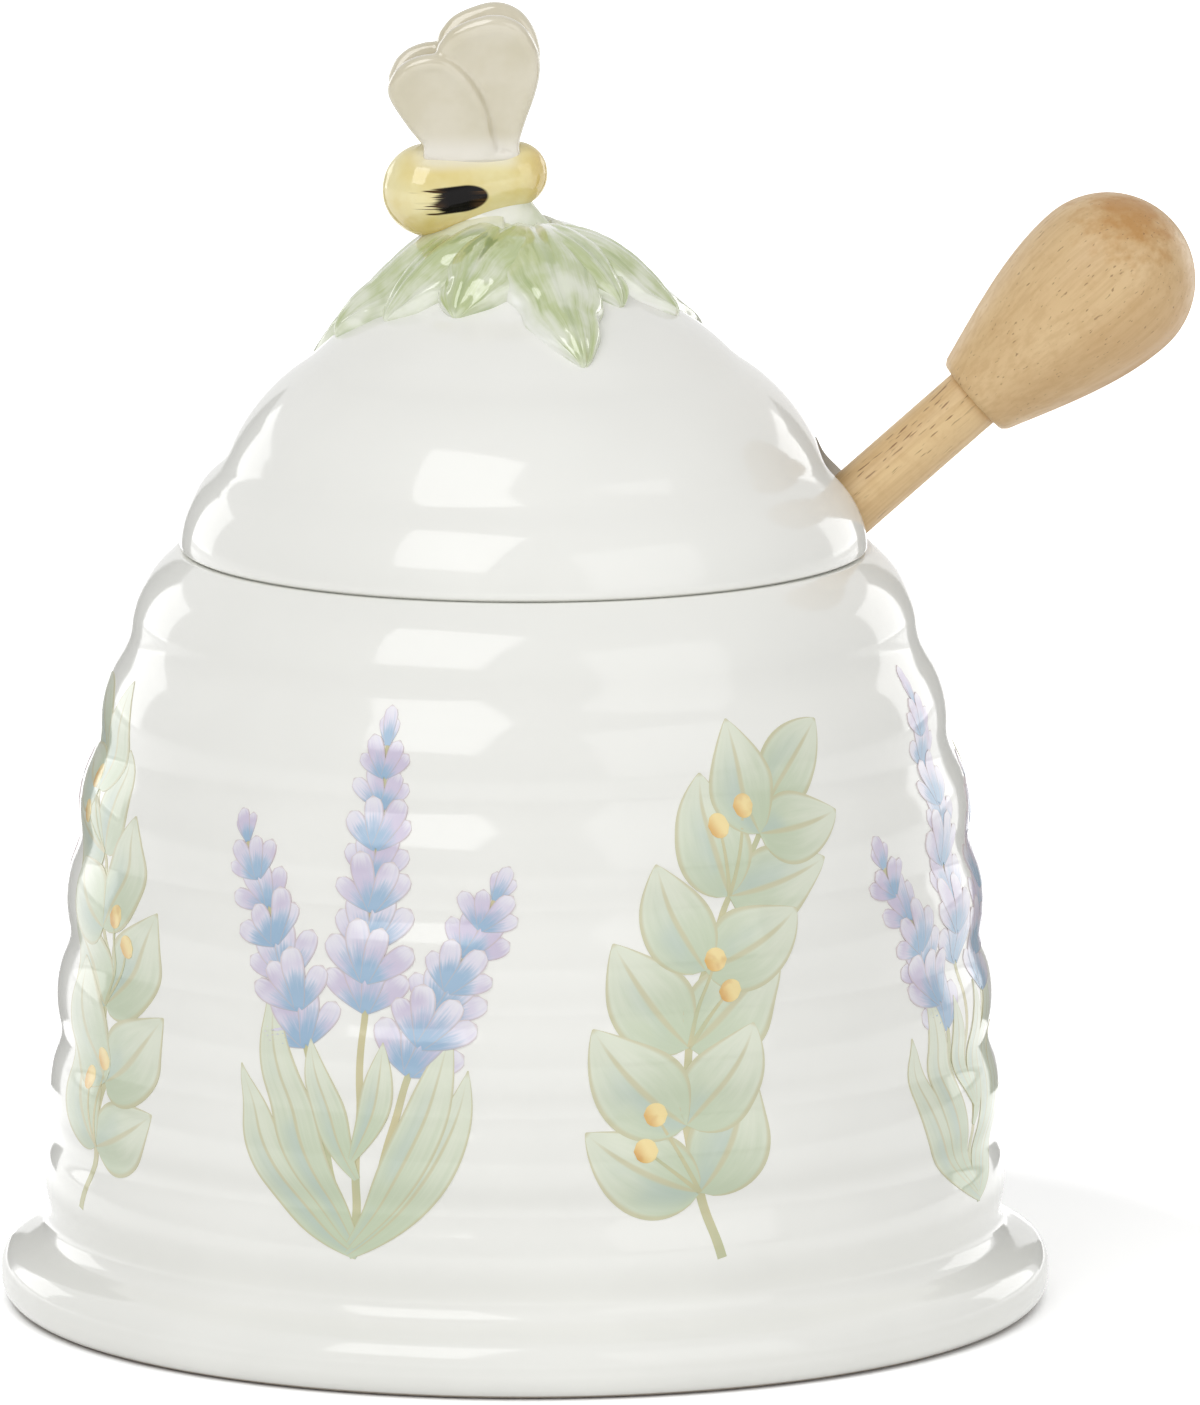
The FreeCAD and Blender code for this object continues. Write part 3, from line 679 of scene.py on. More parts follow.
def printed_floret_colour(f):
    """Blue streaks from the foot of each floret out to pale lilac, with a fine warm outline."""
    along, across, side = f.on_skin()
    strokes = brushed(f, 1.4, 7.0)
    cloud = f.noise(f.here(), 190.0, 2.0)
    lilac = f.blend(f.ease(cloud, 0.38, 0.62), *LILACS)
    blue = f.ease(along + (strokes - 0.5) * 0.8 + (cloud - 0.5) * 0.9, 0.66, 0.2)
    tip = f.ease(along + (strokes - 0.5) * 0.4, 0.7, 1.0)
    tone = f.blend(tip * 0.8, f.blend(blue, lilac, FLORET_BLUE), FLORET_TIP)
    edge = f.greatest(f.ease(side, 0.82, 0.95), f.ease(along, 0.94, 0.99))
    return f.blend(edge * 0.55, tone, FLORET_LINE)


def printed_stem_colour(f):
    """Tan and olive, uneven as from a brush."""
    return f.blend(f.ease(f.noise(f.here(), 160.0, 2.0), 0.35, 0.65), *STEM_TANS)


def printed_berry_colour(f):
    """Warm yellow, deeper on one side."""
    along, across, side = f.on_skin()
    yellow = f.blend(f.ease(along + across * 0.5, 0.9, 0.2), *BERRY_YELLOWS)
    return f.blend(f.ease(f.noise(f.here(), 500.0, 2.0), 0.5, 0.7) * 0.35, yellow, BERRY_SHADE)


# Outlines
def arc_points(a, via, b, step):
    """Points along the circle through a, via and b, from a to b without b."""
    (ax, ay), (bx, by), (cx, cy) = a, via, b
    d = 2 * (ax * (by - cy) + bx * (cy - ay) + cx * (ay - by))
    squares = [ax * ax + ay * ay, bx * bx + by * by, cx * cx + cy * cy]
    ux = (squares[0] * (by - cy) + squares[1] * (cy - ay) + squares[2] * (ay - by)) / d
    uy = (squares[0] * (cx - bx) + squares[1] * (ax - cx) + squares[2] * (bx - ax)) / d
    radius = math.hypot(ax - ux, ay - uy)
    start, middle, end = (math.atan2(y - uy, x - ux) for x, y in (a, via, b))
    turn = (end - start) % FULL_TURN
    if (middle - start) % FULL_TURN > turn:
        turn -= FULL_TURN
    count = max(2, round(abs(turn) * radius / step))
    angles = [start + turn * i / count for i in range(count)]
    return [(ux + radius * math.cos(t), uy + radius * math.sin(t)) for t in angles]


def rib_points(a, b, bulge, step):
    """One rib: the arc from a up to b that swells outwards by bulge."""
    dr, dz = b[0] - a[0], b[1] - a[1]
    length = math.hypot(dr, dz)
    via = ((a[0] + b[0]) / 2 + bulge * dz / length, (a[1] + b[1]) / 2 - bulge * dr / length)
    return arc_points(a, via, b, step)


def line_points(a, b, step):
    """Points along the line from a to b without b."""
    count = max(1, round(math.dist(a, b) / step))
    return [(a[0] + (b[0] - a[0]) * i / count, a[1] + (b[1] - a[1]) * i / count) for i in range(count)]


def curve_at(p0, p1, p2, p3, t):
    """The smooth curve from p1 to p2 at t, with p0 before it and p3 after it."""
    return 0.5 * (2 * p1 + (p2 - p0) * t + (2 * p0 - 5 * p1 + 4 * p2 - p3) * t ** 2
                  + (3 * p1 - p0 - 3 * p2 + p3) * t ** 3)


def smooth_points(points, step):
    """A smooth run through the points, from the first to the last without the last."""
    run = []
    for i in range(len(points) - 1):
        p1, p2 = Vector(points[i]), Vector(points[i + 1])
        p0 = Vector(points[i - 1]) if i else p1 * 2 - p2
        p3 = Vector(points[i + 2]) if i + 2 < len(points) else p2 * 2 - p1
        count = max(1, round((p2 - p1).length / step))
        run += [tuple(curve_at(p0, p1, p2, p3, k / count)) for k in range(count)]
    return run


def closed_run(points, count):
    """Points spread along a smooth closed line through the points."""
    run = []
    n = len(points)
    each = count // n
    for i in range(n):
        around = [Vector(points[(i + k) % n]) for k in (-1, 0, 1, 2)]
        run += [curve_at(*around, k / each) for k in range(each)]
    return run


def soften(points, places, reach, passes):
    """Rounds an outline near the places, as glaze does."""
    near = [i for i in range(1, len(points) - 1)
            if any(math.dist(points[i], place) < reach for place in places)]
    points = list(points)
    for turn in range(passes):
        moved = {}
        for i in near:
            (ax, ay), (bx, by), (cx, cy) = points[i - 1], points[i], points[i + 1]
            moved[i] = ((ax + 2 * bx + cx) / 4, (ay + 2 * by + cy) / 4)
        for i, p in moved.items():
            points[i] = p
    return points


def value_at(pairs, key):
    """The second number of rising pairs at a key, on the line between its neighbours."""
    i = min(max(bisect.bisect_right(pairs, key, key=lambda pair: pair[0]), 1), len(pairs) - 1)
    (k0, v0), (k1, v1) = pairs[i - 1], pairs[i]
    return v0 + (v1 - v0) * (key - k0) / (k1 - k0)


def by_height(outline):
    """An outline of (radius, height) points as pairs for value_at."""
    return [(z, r) for r, z in outline]


def pot_outside():
    """The pot's outer outline from the foot ring up to the seat."""
    run = arc_points((FOOT_RING[1], 0.0), FOOT_LOW_VIA, FOOT_EDGE, POT_STEP)
    run += arc_points(FOOT_EDGE, FOOT_HIGH_VIA, FOOT_TOP, POT_STEP)
    run += arc_points(FOOT_TOP, FOOT_COVE_VIA, RIB_VALLEYS[0], POT_STEP)
    for lower, upper in zip(RIB_VALLEYS, RIB_VALLEYS[1:] + [SHOULDER_END]):
        run += rib_points(lower, upper, RIB_BULGE, POT_STEP)
    run += arc_points(SHOULDER_END, SHOULDER_VIA, (SEAT_RING[1], SEAT_Z), EDGE_STEP)
    return soften(soften(run, RIB_VALLEYS, *VALLEY_SOFTENING), [FOOT_TOP], *FOOT_SOFTENING)


def pot_outline():
    """The whole section of the pot, from the middle of its base round to the middle of its floor."""
    lip = SEAT_RING[0] - MOUTH_RADIUS
    lip_via = (MOUTH_RADIUS + lip * ARC_CLEAR, SEAT_Z - lip * ARC_CLEAR)
    mouth_top = (MOUTH_RADIUS, SEAT_Z - lip)
    mouth_bottom = (MOUTH_RADIUS, MOUTH_BOTTOM_Z)
    corner_top = (CAVITY_RADIUS, FLOOR_Z + CORNER_RADIUS)
    corner_via = (CAVITY_RADIUS - CORNER_RADIUS * ARC_CLEAR, FLOOR_Z + CORNER_RADIUS * ARC_CLEAR)
    corner_floor = (CAVITY_RADIUS - CORNER_RADIUS, FLOOR_Z)
    run = line_points((0.0, BASE_RECESS[1]), BASE_RECESS, BASE_STEP)
    run += line_points(BASE_RECESS, (FOOT_RING[0], 0.0), RECESS_STEP)
    run += line_points((FOOT_RING[0], 0.0), (FOOT_RING[1], 0.0), RING_STEP)
    run += pot_outside()
    run += line_points((SEAT_RING[1], SEAT_Z), (SEAT_RING[0], SEAT_Z), SEAT_STEP)
    run += arc_points((SEAT_RING[0], SEAT_Z), lip_via, mouth_top, EDGE_STEP)
    run += line_points(mouth_top, mouth_bottom, MOUTH_STEP)
    run += smooth_points([mouth_bottom] + INNER_WALL + [corner_top], INNER_STEP)
    run += arc_points(corner_top, corner_via, corner_floor, INNER_STEP)
    run += line_points(corner_floor, (0.0, FLOOR_Z), FLOOR_STEP)
    return run + [(0.0, FLOOR_Z)]


def lid_outside():
    """The lid's outer outline from the edge of its seat up to the top."""
    rim = (LID_RIM_RADIUS, SEAT_Z + LID_RIM_ROUND)
    rim_via = (LID_RIM_RADIUS - LID_RIM_ROUND * ARC_CLEAR, SEAT_Z + LID_RIM_ROUND * ARC_CLEAR)
    run = arc_points((LID_RIM_RADIUS - LID_RIM_ROUND, SEAT_Z), rim_via, rim, LID_RIM_STEP)
    for lower, upper, bulge in zip([rim] + LID_VALLEYS, LID_VALLEYS, LID_BULGES):
        run += rib_points(lower, upper, bulge, LID_STEP)
    run += smooth_points([LID_VALLEYS[-1]] + LID_CAP + [(0.0, LID_TOP_Z)], LID_STEP)
    return soften(run + [(0.0, LID_TOP_Z)], LID_VALLEYS, *VALLEY_SOFTENING)


LID_SURFACE = lid_outside()
LID_BY_HEIGHT = by_height(LID_SURFACE)
LID_TOP_DOWN = [p for p in reversed(LID_SURFACE) if p[1] > SEAT_Z + LID_RIM_ROUND + DOME_CLEAR]


def knob_outline():
    """The knob's section: a rounded neck, a flank that flares to the widest ring, and a round crown."""
    neck, widest = KNOB_NECK, KNOB_WIDEST
    edge = (neck[0] - KNOB_NECK_ROUND, 0.0)
    run = line_points((0.0, 0.0), edge, KNOB_END_STEP) + line_points(edge, neck, KNOB_NECK_STEP)
    rise = widest[1] - neck[1]
    flank, crown = KNOB_STEPS
    for i in range(flank):
        u = i / flank
        flare = neck[0] * (2 * u ** 3 - 3 * u ** 2 + 1) + widest[0] * (3 * u ** 2 - 2 * u ** 3)
        run.append((flare + KNOB_FLARE * rise * (u ** 3 - 2 * u ** 2 + u), neck[1] + rise * u))
    for i in range(crown):
        turn = QUARTER_TURN * i / crown
        run.append((widest[0] * math.cos(turn), widest[1] + (KNOB_LENGTH - widest[1]) * math.sin(turn)))
    run.append((0.0, KNOB_LENGTH))
    return [(r, KNOB_START + t) for r, t in run]


def shaft_outline():
    """The dowel's section, with its tenons."""
    low, high = HEAD_TOP - TENON, KNOB_START + TENON
    run = line_points((SHAFT_RADIUS, low), (SHAFT_RADIUS, high), SHAFT_STEP)
    return [(0.0, low)] + run + [(SHAFT_RADIUS, high), (0.0, high)]


def head_outline():
    """The honey head's section: an egg with rounded discs between its grooves."""
    egg = by_height(smooth_points(HEAD_EGG, EGG_STEP) + [HEAD_EGG[-1]])
    first, pitch, width, count = GROOVES
    length = HEAD_EGG[-1][1]
    run = line_points((0.0, 0.0), (HEAD_EGG[0][0] - DISC_ROUND, 0.0), HEAD_END_STEP)
    start = 0.0
    for i in range(count + 1):
        end = first + i * pitch if i < count else length
        run.append((value_at(egg, start) - DISC_ROUND, start))
        for k in range(DISC_STEPS + 1):
            t = start + DISC_ROUND + (end - start - 2 * DISC_ROUND) * k / DISC_STEPS
            run.append((value_at(egg, t), t))
        run.append((value_at(egg, end) - DISC_ROUND, end))
        if i < count:
            run += [(HEAD_CORE, end), (HEAD_CORE, end + width)]
        start = end + width
    run.append((0.0, length))
    return [(r, HEAD_TOP - t) for r, t in reversed(run)]


# Making pieces
def in_scene(name, data):
    """An object of the scene that holds a mesh, a lamp or a camera."""
    thing = bpy.data.objects.new(name, data)
    bpy.context.scene.collection.objects.link(thing)
    return thing


def new_mesh(name, points, faces, finish=None, skin=None):
    """A mesh from points in metres, with a surface map of its own where skin gives one."""
    mesh = bpy.data.meshes.new(name)
    mesh.from_pydata(points, [], faces)
    if skin:
        surface = mesh.uv_layers.new(name="skin")
        for loop in mesh.loops:
            surface.data[loop.index].uv = skin[loop.vertex_index]
    if finish:
        mesh.materials.append(finish)
    return mesh


def tidy_mesh(mesh, weld=True):
    """Merges doubles, turns all faces outwards and shades them smooth."""
    bm = bmesh.new()
    bm.from_mesh(mesh)
    if weld:
        bmesh.ops.remove_doubles(bm, verts=bm.verts, dist=WELD)
    bmesh.ops.recalc_face_normals(bm, faces=bm.faces)
    for face in bm.faces:
        face.smooth = True
    bm.to_mesh(mesh)
    bm.free()
    return mesh


def baked(holder, name):
    """The evaluated mesh of an object with its modifiers applied, as a mesh of its own."""
    bpy.context.view_layer.update()
    graph = bpy.context.evaluated_depsgraph_get()
    mesh = bpy.data.meshes.new_from_object(holder.evaluated_get(graph))
    mesh.name = name
    data = holder.data
    bpy.data.objects.remove(holder)
    bpy.data.meshes.remove(data)
    return mesh


def add_piece(name, mesh, body, nodes=()):
    """Puts a finished mesh in the scene as a piece that rides on a body."""
    piece = in_scene(name, mesh)
    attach(piece, body)
    if nodes:
        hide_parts(*nodes)


def ring_angles(count):
    """The angles of points spread round a ring."""
    return [FULL_TURN * j / count for j in range(count)]


def ring_faces(first, count, rings):
    """Faces of a closed form made of rings of points, with a cap at each end."""
    faces = []
    for i in range(rings - 1):
        for j in range(count):
            a, b = first + i * count + j, first + i * count + (j + 1) % count
            faces.append((a, b, b + count, a + count))
    faces.append([first + j for j in range(count)][::-1])
    faces.append([first + (rings - 1) * count + j for j in range(count)])
    return faces


def slab_faces(first, rows, wide):
    """Faces of a closed slab: an upper and a lower grid of points, joined round their edges."""
    size = rows * wide
    faces = []
    for i in range(rows - 1):
        for j in range(wide - 1):
            a = first + i * wide + j
            faces.append((a, a + 1, a + wide + 1, a + wide))
            b = a + size
            faces.append((b, b + wide, b + wide + 1, b + 1))
    ring = list(range(wide)) + [i * wide + wide - 1 for i in range(1, rows)]
    ring += [size - 2 - j for j in range(wide - 1)] + [i * wide for i in range(rows - 2, 0, -1)]
    for a, b in zip(ring, ring[1:] + ring[:1]):
        faces.append((first + a, first + a + size, first + b + size, first + b))
    return faces


def turning_tree():
    """Turns an outline about Z, as on a lathe."""
    tree = Shaping("turning", {"Outline": "Geometry", "Sides": "Int", "Finish": "Material"})
    outline = tree.given["Outline"]
    count = tree.node("GeometryNodeAttributeDomainSize", {"component": "MESH"}, {0: outline}, "Point Count")
    grid = tree.node("GeometryNodeMeshGrid", None, {"Size X": 1.0, "Size Y": 1.0, "Vertices X": count,
                                                    "Vertices Y": tree.given["Sides"] + 1})
    place = tree.node("GeometryNodeInputPosition")
    x, y, z = tree.parts(place)
    row = tree.maths("ROUND", (x + 0.5) * (count - 1))
    radius, flat, height = tree.sample(outline, place, row, False)
    turned = tree.round_axis(grid, radius, (y + 0.5) * FULL_TURN, height)
    tree.close(tree.node("GeometryNodeMergeByDistance", None, {"Geometry": turned, "Distance": WELD}))
    return tree


def printing_tree():
    """Wraps flat motifs round the pot, on the radii that the wall's line gives."""
    tree = Shaping("printing", {"Motifs": "Geometry", "Wall Line": "Object", "Wall Start": "Float",
                                "Wall Step": "Float", "Round": "Float", "Depth": "Float",
                                "Finish": "Material"})
    given = tree.given
    place = tree.node("GeometryNodeInputPosition")
    along, proud, up = tree.parts(place)
    wall = tree.node("GeometryNodeObjectInfo", None, {0: given["Wall Line"]}, "Geometry")
    row = (up - given["Wall Start"]) / given["Wall Step"]
    below, above = (tree.sample(wall, place, tree.maths("FLOOR", row) + step, True)[0] for step in (0, 1))
    radius = below + (above - below) * tree.maths("FRACT", row) + (proud - given["Depth"])
    tree.close(tree.round_axis(given["Motifs"], radius, along / given["Round"] - QUARTER_TURN, up))
    return tree


TURNING = turning_tree()
PRINTING = printing_tree()


def turned_mesh(name, outline, sides, finish):
    """A closed turned mesh from an outline of (radius, height) points."""
    line = new_mesh(name + "_outline", [(r * MM, 0.0, z * MM) for r, z in outline], [])
    return tidy_mesh(TURNING.run(name, line, {"Sides": sides, "Finish": finish}), weld=False)


def on_dipper(mesh):
    """Lays a mesh turned about Z along the dipper's slanting axis."""
    turn = Matrix.Rotation(math.radians(90 - DIPPER_ANGLE), 4, "Y")
    mesh.transform(Matrix.Translation(DIPPER_AT_LIP * MM) @ turn)
    return mesh


def lid_mesh(finish):
    """The lid, turned, with its wall parted round the arched notch and the notch's sides closed."""
    arch_z = NOTCH_TOP_Z - NOTCH_HALF
    levels = [SEAT_Z + NOTCH_STEP * i for i in range(int((arch_z - SEAT_Z) / NOTCH_STEP))]
    levels += [arch_z + NOTCH_HALF * math.sin(math.radians(a)) for a in range(0, 91, NOTCH_ARCH_STEP)]
    inside_top = [(0.0, LID_INSIDE_TOP_Z)]
    inside = [(FLANGE[0], LID_INSIDE_START_Z)] + LID_INSIDE + inside_top
    inside = smooth_points(inside, LID_INSIDE_STEP) + inside_top
    inside_by_height = by_height(inside)

    def inner_radius(z):
        return FLANGE[0] if z <= LID_INSIDE_START_Z else value_at(inside_by_height, z)

    def notch_half(z):
        rise = z - SEAT_Z
        if 0 <= rise < NOTCH_CORNER:
            return NOTCH_HALF + NOTCH_CORNER - math.sqrt(NOTCH_CORNER ** 2 - (NOTCH_CORNER - rise) ** 2)
        if z <= arch_z:
            return NOTCH_HALF
        return math.sqrt(max(0.0, NOTCH_HALF ** 2 - (z - arch_z) ** 2))

    flange_step = (SEAT_Z - FLANGE_BOTTOM_Z) / FLANGE_ROWS
    flange_levels = [FLANGE_BOTTOM_Z + flange_step * i for i in range(FLANGE_ROWS)]
    rows = [(r, z) for r, z in reversed(inside) if z > NOTCH_TOP_Z + NOTCH_CLEAR[0]]
    rows += [(inner_radius(z), z) for z in reversed(levels)]
    inner_seat = len(rows) - 1
    rows += [(FLANGE[0], z) for z in reversed(flange_levels)]
    flange_low = len(rows)
    rows += [(FLANGE[1], z) for z in flange_levels]
    rows.append((FLANGE[1], SEAT_Z))
    rim_row = len(rows)
    rows.append((LID_RIM_RADIUS - LID_RIM_ROUND, SEAT_Z))
    rows += [(value_at(LID_BY_HEIGHT, z), z) for z in levels[1:]]
    rows += [(r, z) for r, z in LID_SURFACE if z > NOTCH_TOP_Z + NOTCH_CLEAR[1]]
    points = []
    for r, z in rows:
        notched = r > NOTCH_HALF and z < NOTCH_TOP_Z - 1e-6
        part = math.asin(min(1.0, notch_half(z) / r)) if notched else 0.0
        for j in range(LID_SIDES + 1):
            t = part + (FULL_TURN - 2 * part) * j / LID_SIDES
            points.append((r * math.cos(t) * MM, r * math.sin(t) * MM, z * MM))
    wide = LID_SIDES + 1
    faces = []
    for i in range(len(rows) - 1):
        for j in range(LID_SIDES):
            faces.append((i * wide + j, i * wide + j + 1, (i + 1) * wide + j + 1, (i + 1) * wide + j))
    for j in (0, LID_SIDES):
        for k in range(len(levels) - 1):
            inner, outer = inner_seat - k, rim_row + k
            side = [inner, inner - 1, outer + 1, outer]
            if k == 0:
                side.append(rim_row - 1)
            faces.append([i * wide + j for i in side])
        for k in range(FLANGE_ROWS):
            inner, outer = flange_low - 1 - k, flange_low + k
            faces.append([i * wide + j for i in (inner, inner - 1, outer + 1, outer)])
    holder = in_scene("lid_holder", tidy_mesh(new_mesh("lid_shell", points, faces)))
    edge = holder.modifiers.new("glazed_edges", "BEVEL")
    edge.limit_method = "ANGLE"
    edge.width = LID_EDGE[0] * MM
    edge.segments = LID_EDGE[1]
    edge.angle_limit = math.radians(LID_EDGE[2])
    made = tidy_mesh(baked(holder, "lid_shell"))
    made.materials.append(finish)
    return made


def bump_at(value, centre, spread):
    """A soft bump of height 1 round a centre."""
    return math.exp(-((value - centre) / spread) ** 2)


def leaf_mesh(name, spec, finish):
    """A sprigged leaf: a closed form over the dome with a vein, side veins and a raised wavy rim."""
    azimuth, start, tip, width, bend, root, middle, end = spec
    turn = Matrix.Rotation(math.radians(azimuth), 3, "Z")
    rng = random.Random(name)
    phase = [rng.uniform(0, FULL_TURN) for i in range(5)]
    long, wide = LEAF_GRID
    collar, collar_x, collar_long, collar_wide = COLLAR

    def half_width(u, side):
        stage = (LEAF_BASE_WIDTH + (1 - LEAF_BASE_WIDTH) * u) ** LEAF_WIDEST
        swell = max(0.0, math.sin(math.pi * stage)) ** LEAF_FULLNESS
        first = phase[0] if side > 0 else phase[1]
        (broad, broad_rate), (fine, fine_rate) = LEAF_WAVES
        wavy = 1 + broad * math.sin(broad_rate * u + first) + fine * math.sin(fine_rate * u + 2 * first)
        return max(LEAST_RING, width * swell * wavy)

    def raised(u, v):
        """Height over the dome, from the relief at root, middle and tip and the leaf's own details."""
        side = abs(v)
        crown = max(0.0, 1 - side ** LEAF_ROLL[0]) ** 0.5 * max(0.0, 1 - u ** LEAF_ROLL[1]) ** 0.5
        relief = root * (1 - u) * (1 - 2 * u) + middle * 4 * u * (1 - u) + end * u * (2 * u - 1)
        body = LEAF_EDGE + (relief - LEAF_EDGE) * (1 - side ** 2)
        lip = LEAF_LIP[0] * bump_at(side, *LEAF_LIP[1:]) * (LEAF_LIP_SHARES[0] + LEAF_LIP_SHARES[1] * u)
        hollow = LEAF_HOLLOW[0] * bump_at(side, *LEAF_HOLLOW[1:]) * u
        vein = LEAF_VEIN[0] * bump_at(v, *LEAF_VEIN[1:]) * (1 - LEAF_VEIN_LOSS * u)
        depth, number, slant = LEAF_SIDE_VEINS
        branch = max(0.0, math.sin(FULL_TURN * (number * u - slant * side) + phase[2])) ** 3
        veins = depth * branch * (1 - side) * min(1.0, 4 * side)
        high, rate, onset = LEAF_RIPPLE
        wave = math.sin(rate * u + (phase[3] if v > 0 else phase[4]))
        ripple = high * wave * side ** 2 * min(1.0, onset * u)
        return (body + lip - hollow - vein - veins + ripple) * crown - LEAF_TUCK * (1 - crown)

    points, skin = [], []
    for upper in (True, False):
        for i in range(long + 1):
            u = i / long
            along = start + (tip - start) * u
            for j in range(wide + 1):
                v = math.sin(math.pi * (j / wide - 0.5))
                across = v * half_width(u, v) + bend * u * u
                r = math.hypot(along, across)
                ahead = value_at(LID_TOP_DOWN, r + SLOPE_REACH)
                behind = value_at(LID_TOP_DOWN, max(r - SLOPE_REACH, 0.0))
                slope = (ahead - behind) / (2 * SLOPE_REACH)
                normal = Vector((-slope * along / r, -slope * across / r, 1)).normalized()
                lift = raised(u, v) if upper else LEAF_UNDERSIDE
                spot = turn @ (Vector((along, across, value_at(LID_TOP_DOWN, r))) + normal * lift)
                spot.z += (collar * bump_at(spot.x, collar_x, collar_long)
                           * bump_at(spot.y, 0.0, collar_wide))
                points.append(spot * MM)
                skin.append((u, 0.5 + 0.5 * v))
    faces = slab_faces(0, long + 1, wide + 1)
    return tidy_mesh(new_mesh(name + "_relief", points, faces, finish, skin), weld=False)


def clay_mesh(name, forms, finish, clay):
    """Closed clay forms run together and softened, as under glaze."""
    voxel, smoothing = clay
    holder = in_scene(name + "_holder", tidy_mesh(new_mesh(name, *forms)))
    knead = holder.modifiers.new("knead", "REMESH")
    knead.mode = "VOXEL"
    knead.voxel_size = voxel * MM
    soft = holder.modifiers.new("soft", "SMOOTH")
    soft.factor = 0.5
    soft.iterations = smoothing
    made = baked(holder, name)
    for face in made.polygons:
        face.use_smooth = True
    made.materials.append(finish)
    return made


def bee_forms():
    """The bee's body: two rounds with their common skin."""
    axis = HEAD[0] - ABDOMEN[0]
    length = axis.length
    lean = math.asin((ABDOMEN[1] - HEAD[1]) / length)
    rear, front = ROUND_STEPS
    outline = []
    for i in range(rear + 1):
        t = -QUARTER_TURN + (QUARTER_TURN + lean) * i / rear
        outline.append((ABDOMEN[1] * math.cos(t), ABDOMEN[1] * math.sin(t)))
    for i in range(front + 1):
        t = lean + (QUARTER_TURN - lean) * i / front
        outline.append((HEAD[1] * math.cos(t), length + HEAD[1] * math.sin(t)))
    lay = axis.to_track_quat("Z", "X").to_matrix()
    points = []
    for r, t in outline:
        r = max(r, LEAST_RING)
        for a in ring_angles(CLAY_SIDES):
            spot = Vector((r * math.cos(a), r * math.sin(a), t))
            points.append((ABDOMEN[0] + lay @ spot) * MM)
    return points, ring_faces(0, CLAY_SIDES, len(outline))


def mound_forms():
    """The low slanting mound of clay that beds the bee in the leaves."""
    points = []
    for z, x, half_long, half_wide, slant in MOUND_RINGS:
        for a in ring_angles(CLAY_SIDES):
            east = half_long * math.cos(a)
            points.append(Vector((x + east, half_wide * math.sin(a), z + slant * east)) * MM)
    return points, ring_faces(0, CLAY_SIDES, len(MOUND_RINGS))


def wing_forms(side):
    """Forewing and hindwing of one side as two pillowed lobes, leaning outwards, and their soft foot."""
    points, faces = [], []
    lean = Matrix.Rotation(-side * math.radians(WING_TILT), 3, "X")
    root = Vector((0.0, side * WING_ROOT[0], WING_ROOT[1]))
    for outline, step in ((FOREWING, 0.0), (HINDWING, WING_STEP * side)):
        run = closed_run(outline, WING_POINTS)
        middle = sum(run, Vector((0, 0))) / len(run)
        faces += ring_faces(len(points), len(run), len(WING_PILLOW))
        for depth, size in WING_PILLOW:
            for p in run:
                q = middle + (p - middle) * size
                spot = Vector((q.x, step + depth * WING_DEPTH, q.y - WING_ROOT[1]))
                points.append((root + lean @ spot) * MM)
    count, rings = WING_FOOT_GRID
    faces += ring_faces(len(points), count, rings)
    foot = root + Vector((WING_FOOT_PLACE[0], side * WING_FOOT_PLACE[1], WING_FOOT_PLACE[2]))
    for i in range(rings):
        t = math.pi * (WING_FOOT_SPAN[0] + WING_FOOT_SPAN[1] * i / (rings - 1))
        for a in ring_angles(count):
            spot = Vector((WING_FOOT[0] * math.cos(t), WING_FOOT[1] * math.sin(t) * math.cos(a),
                           WING_FOOT[2] * math.sin(t) * math.sin(a)))
            points.append((foot + spot) * MM)
    return points, faces


# Printed border
def heading_at(run, i):
    """The way that a run of points goes at its point i, in degrees."""
    before, after = run[max(i - 1, 0)], run[min(i + 1, len(run) - 1)]
    return math.degrees(math.atan2(after[1] - before[1], after[0] - before[0]))


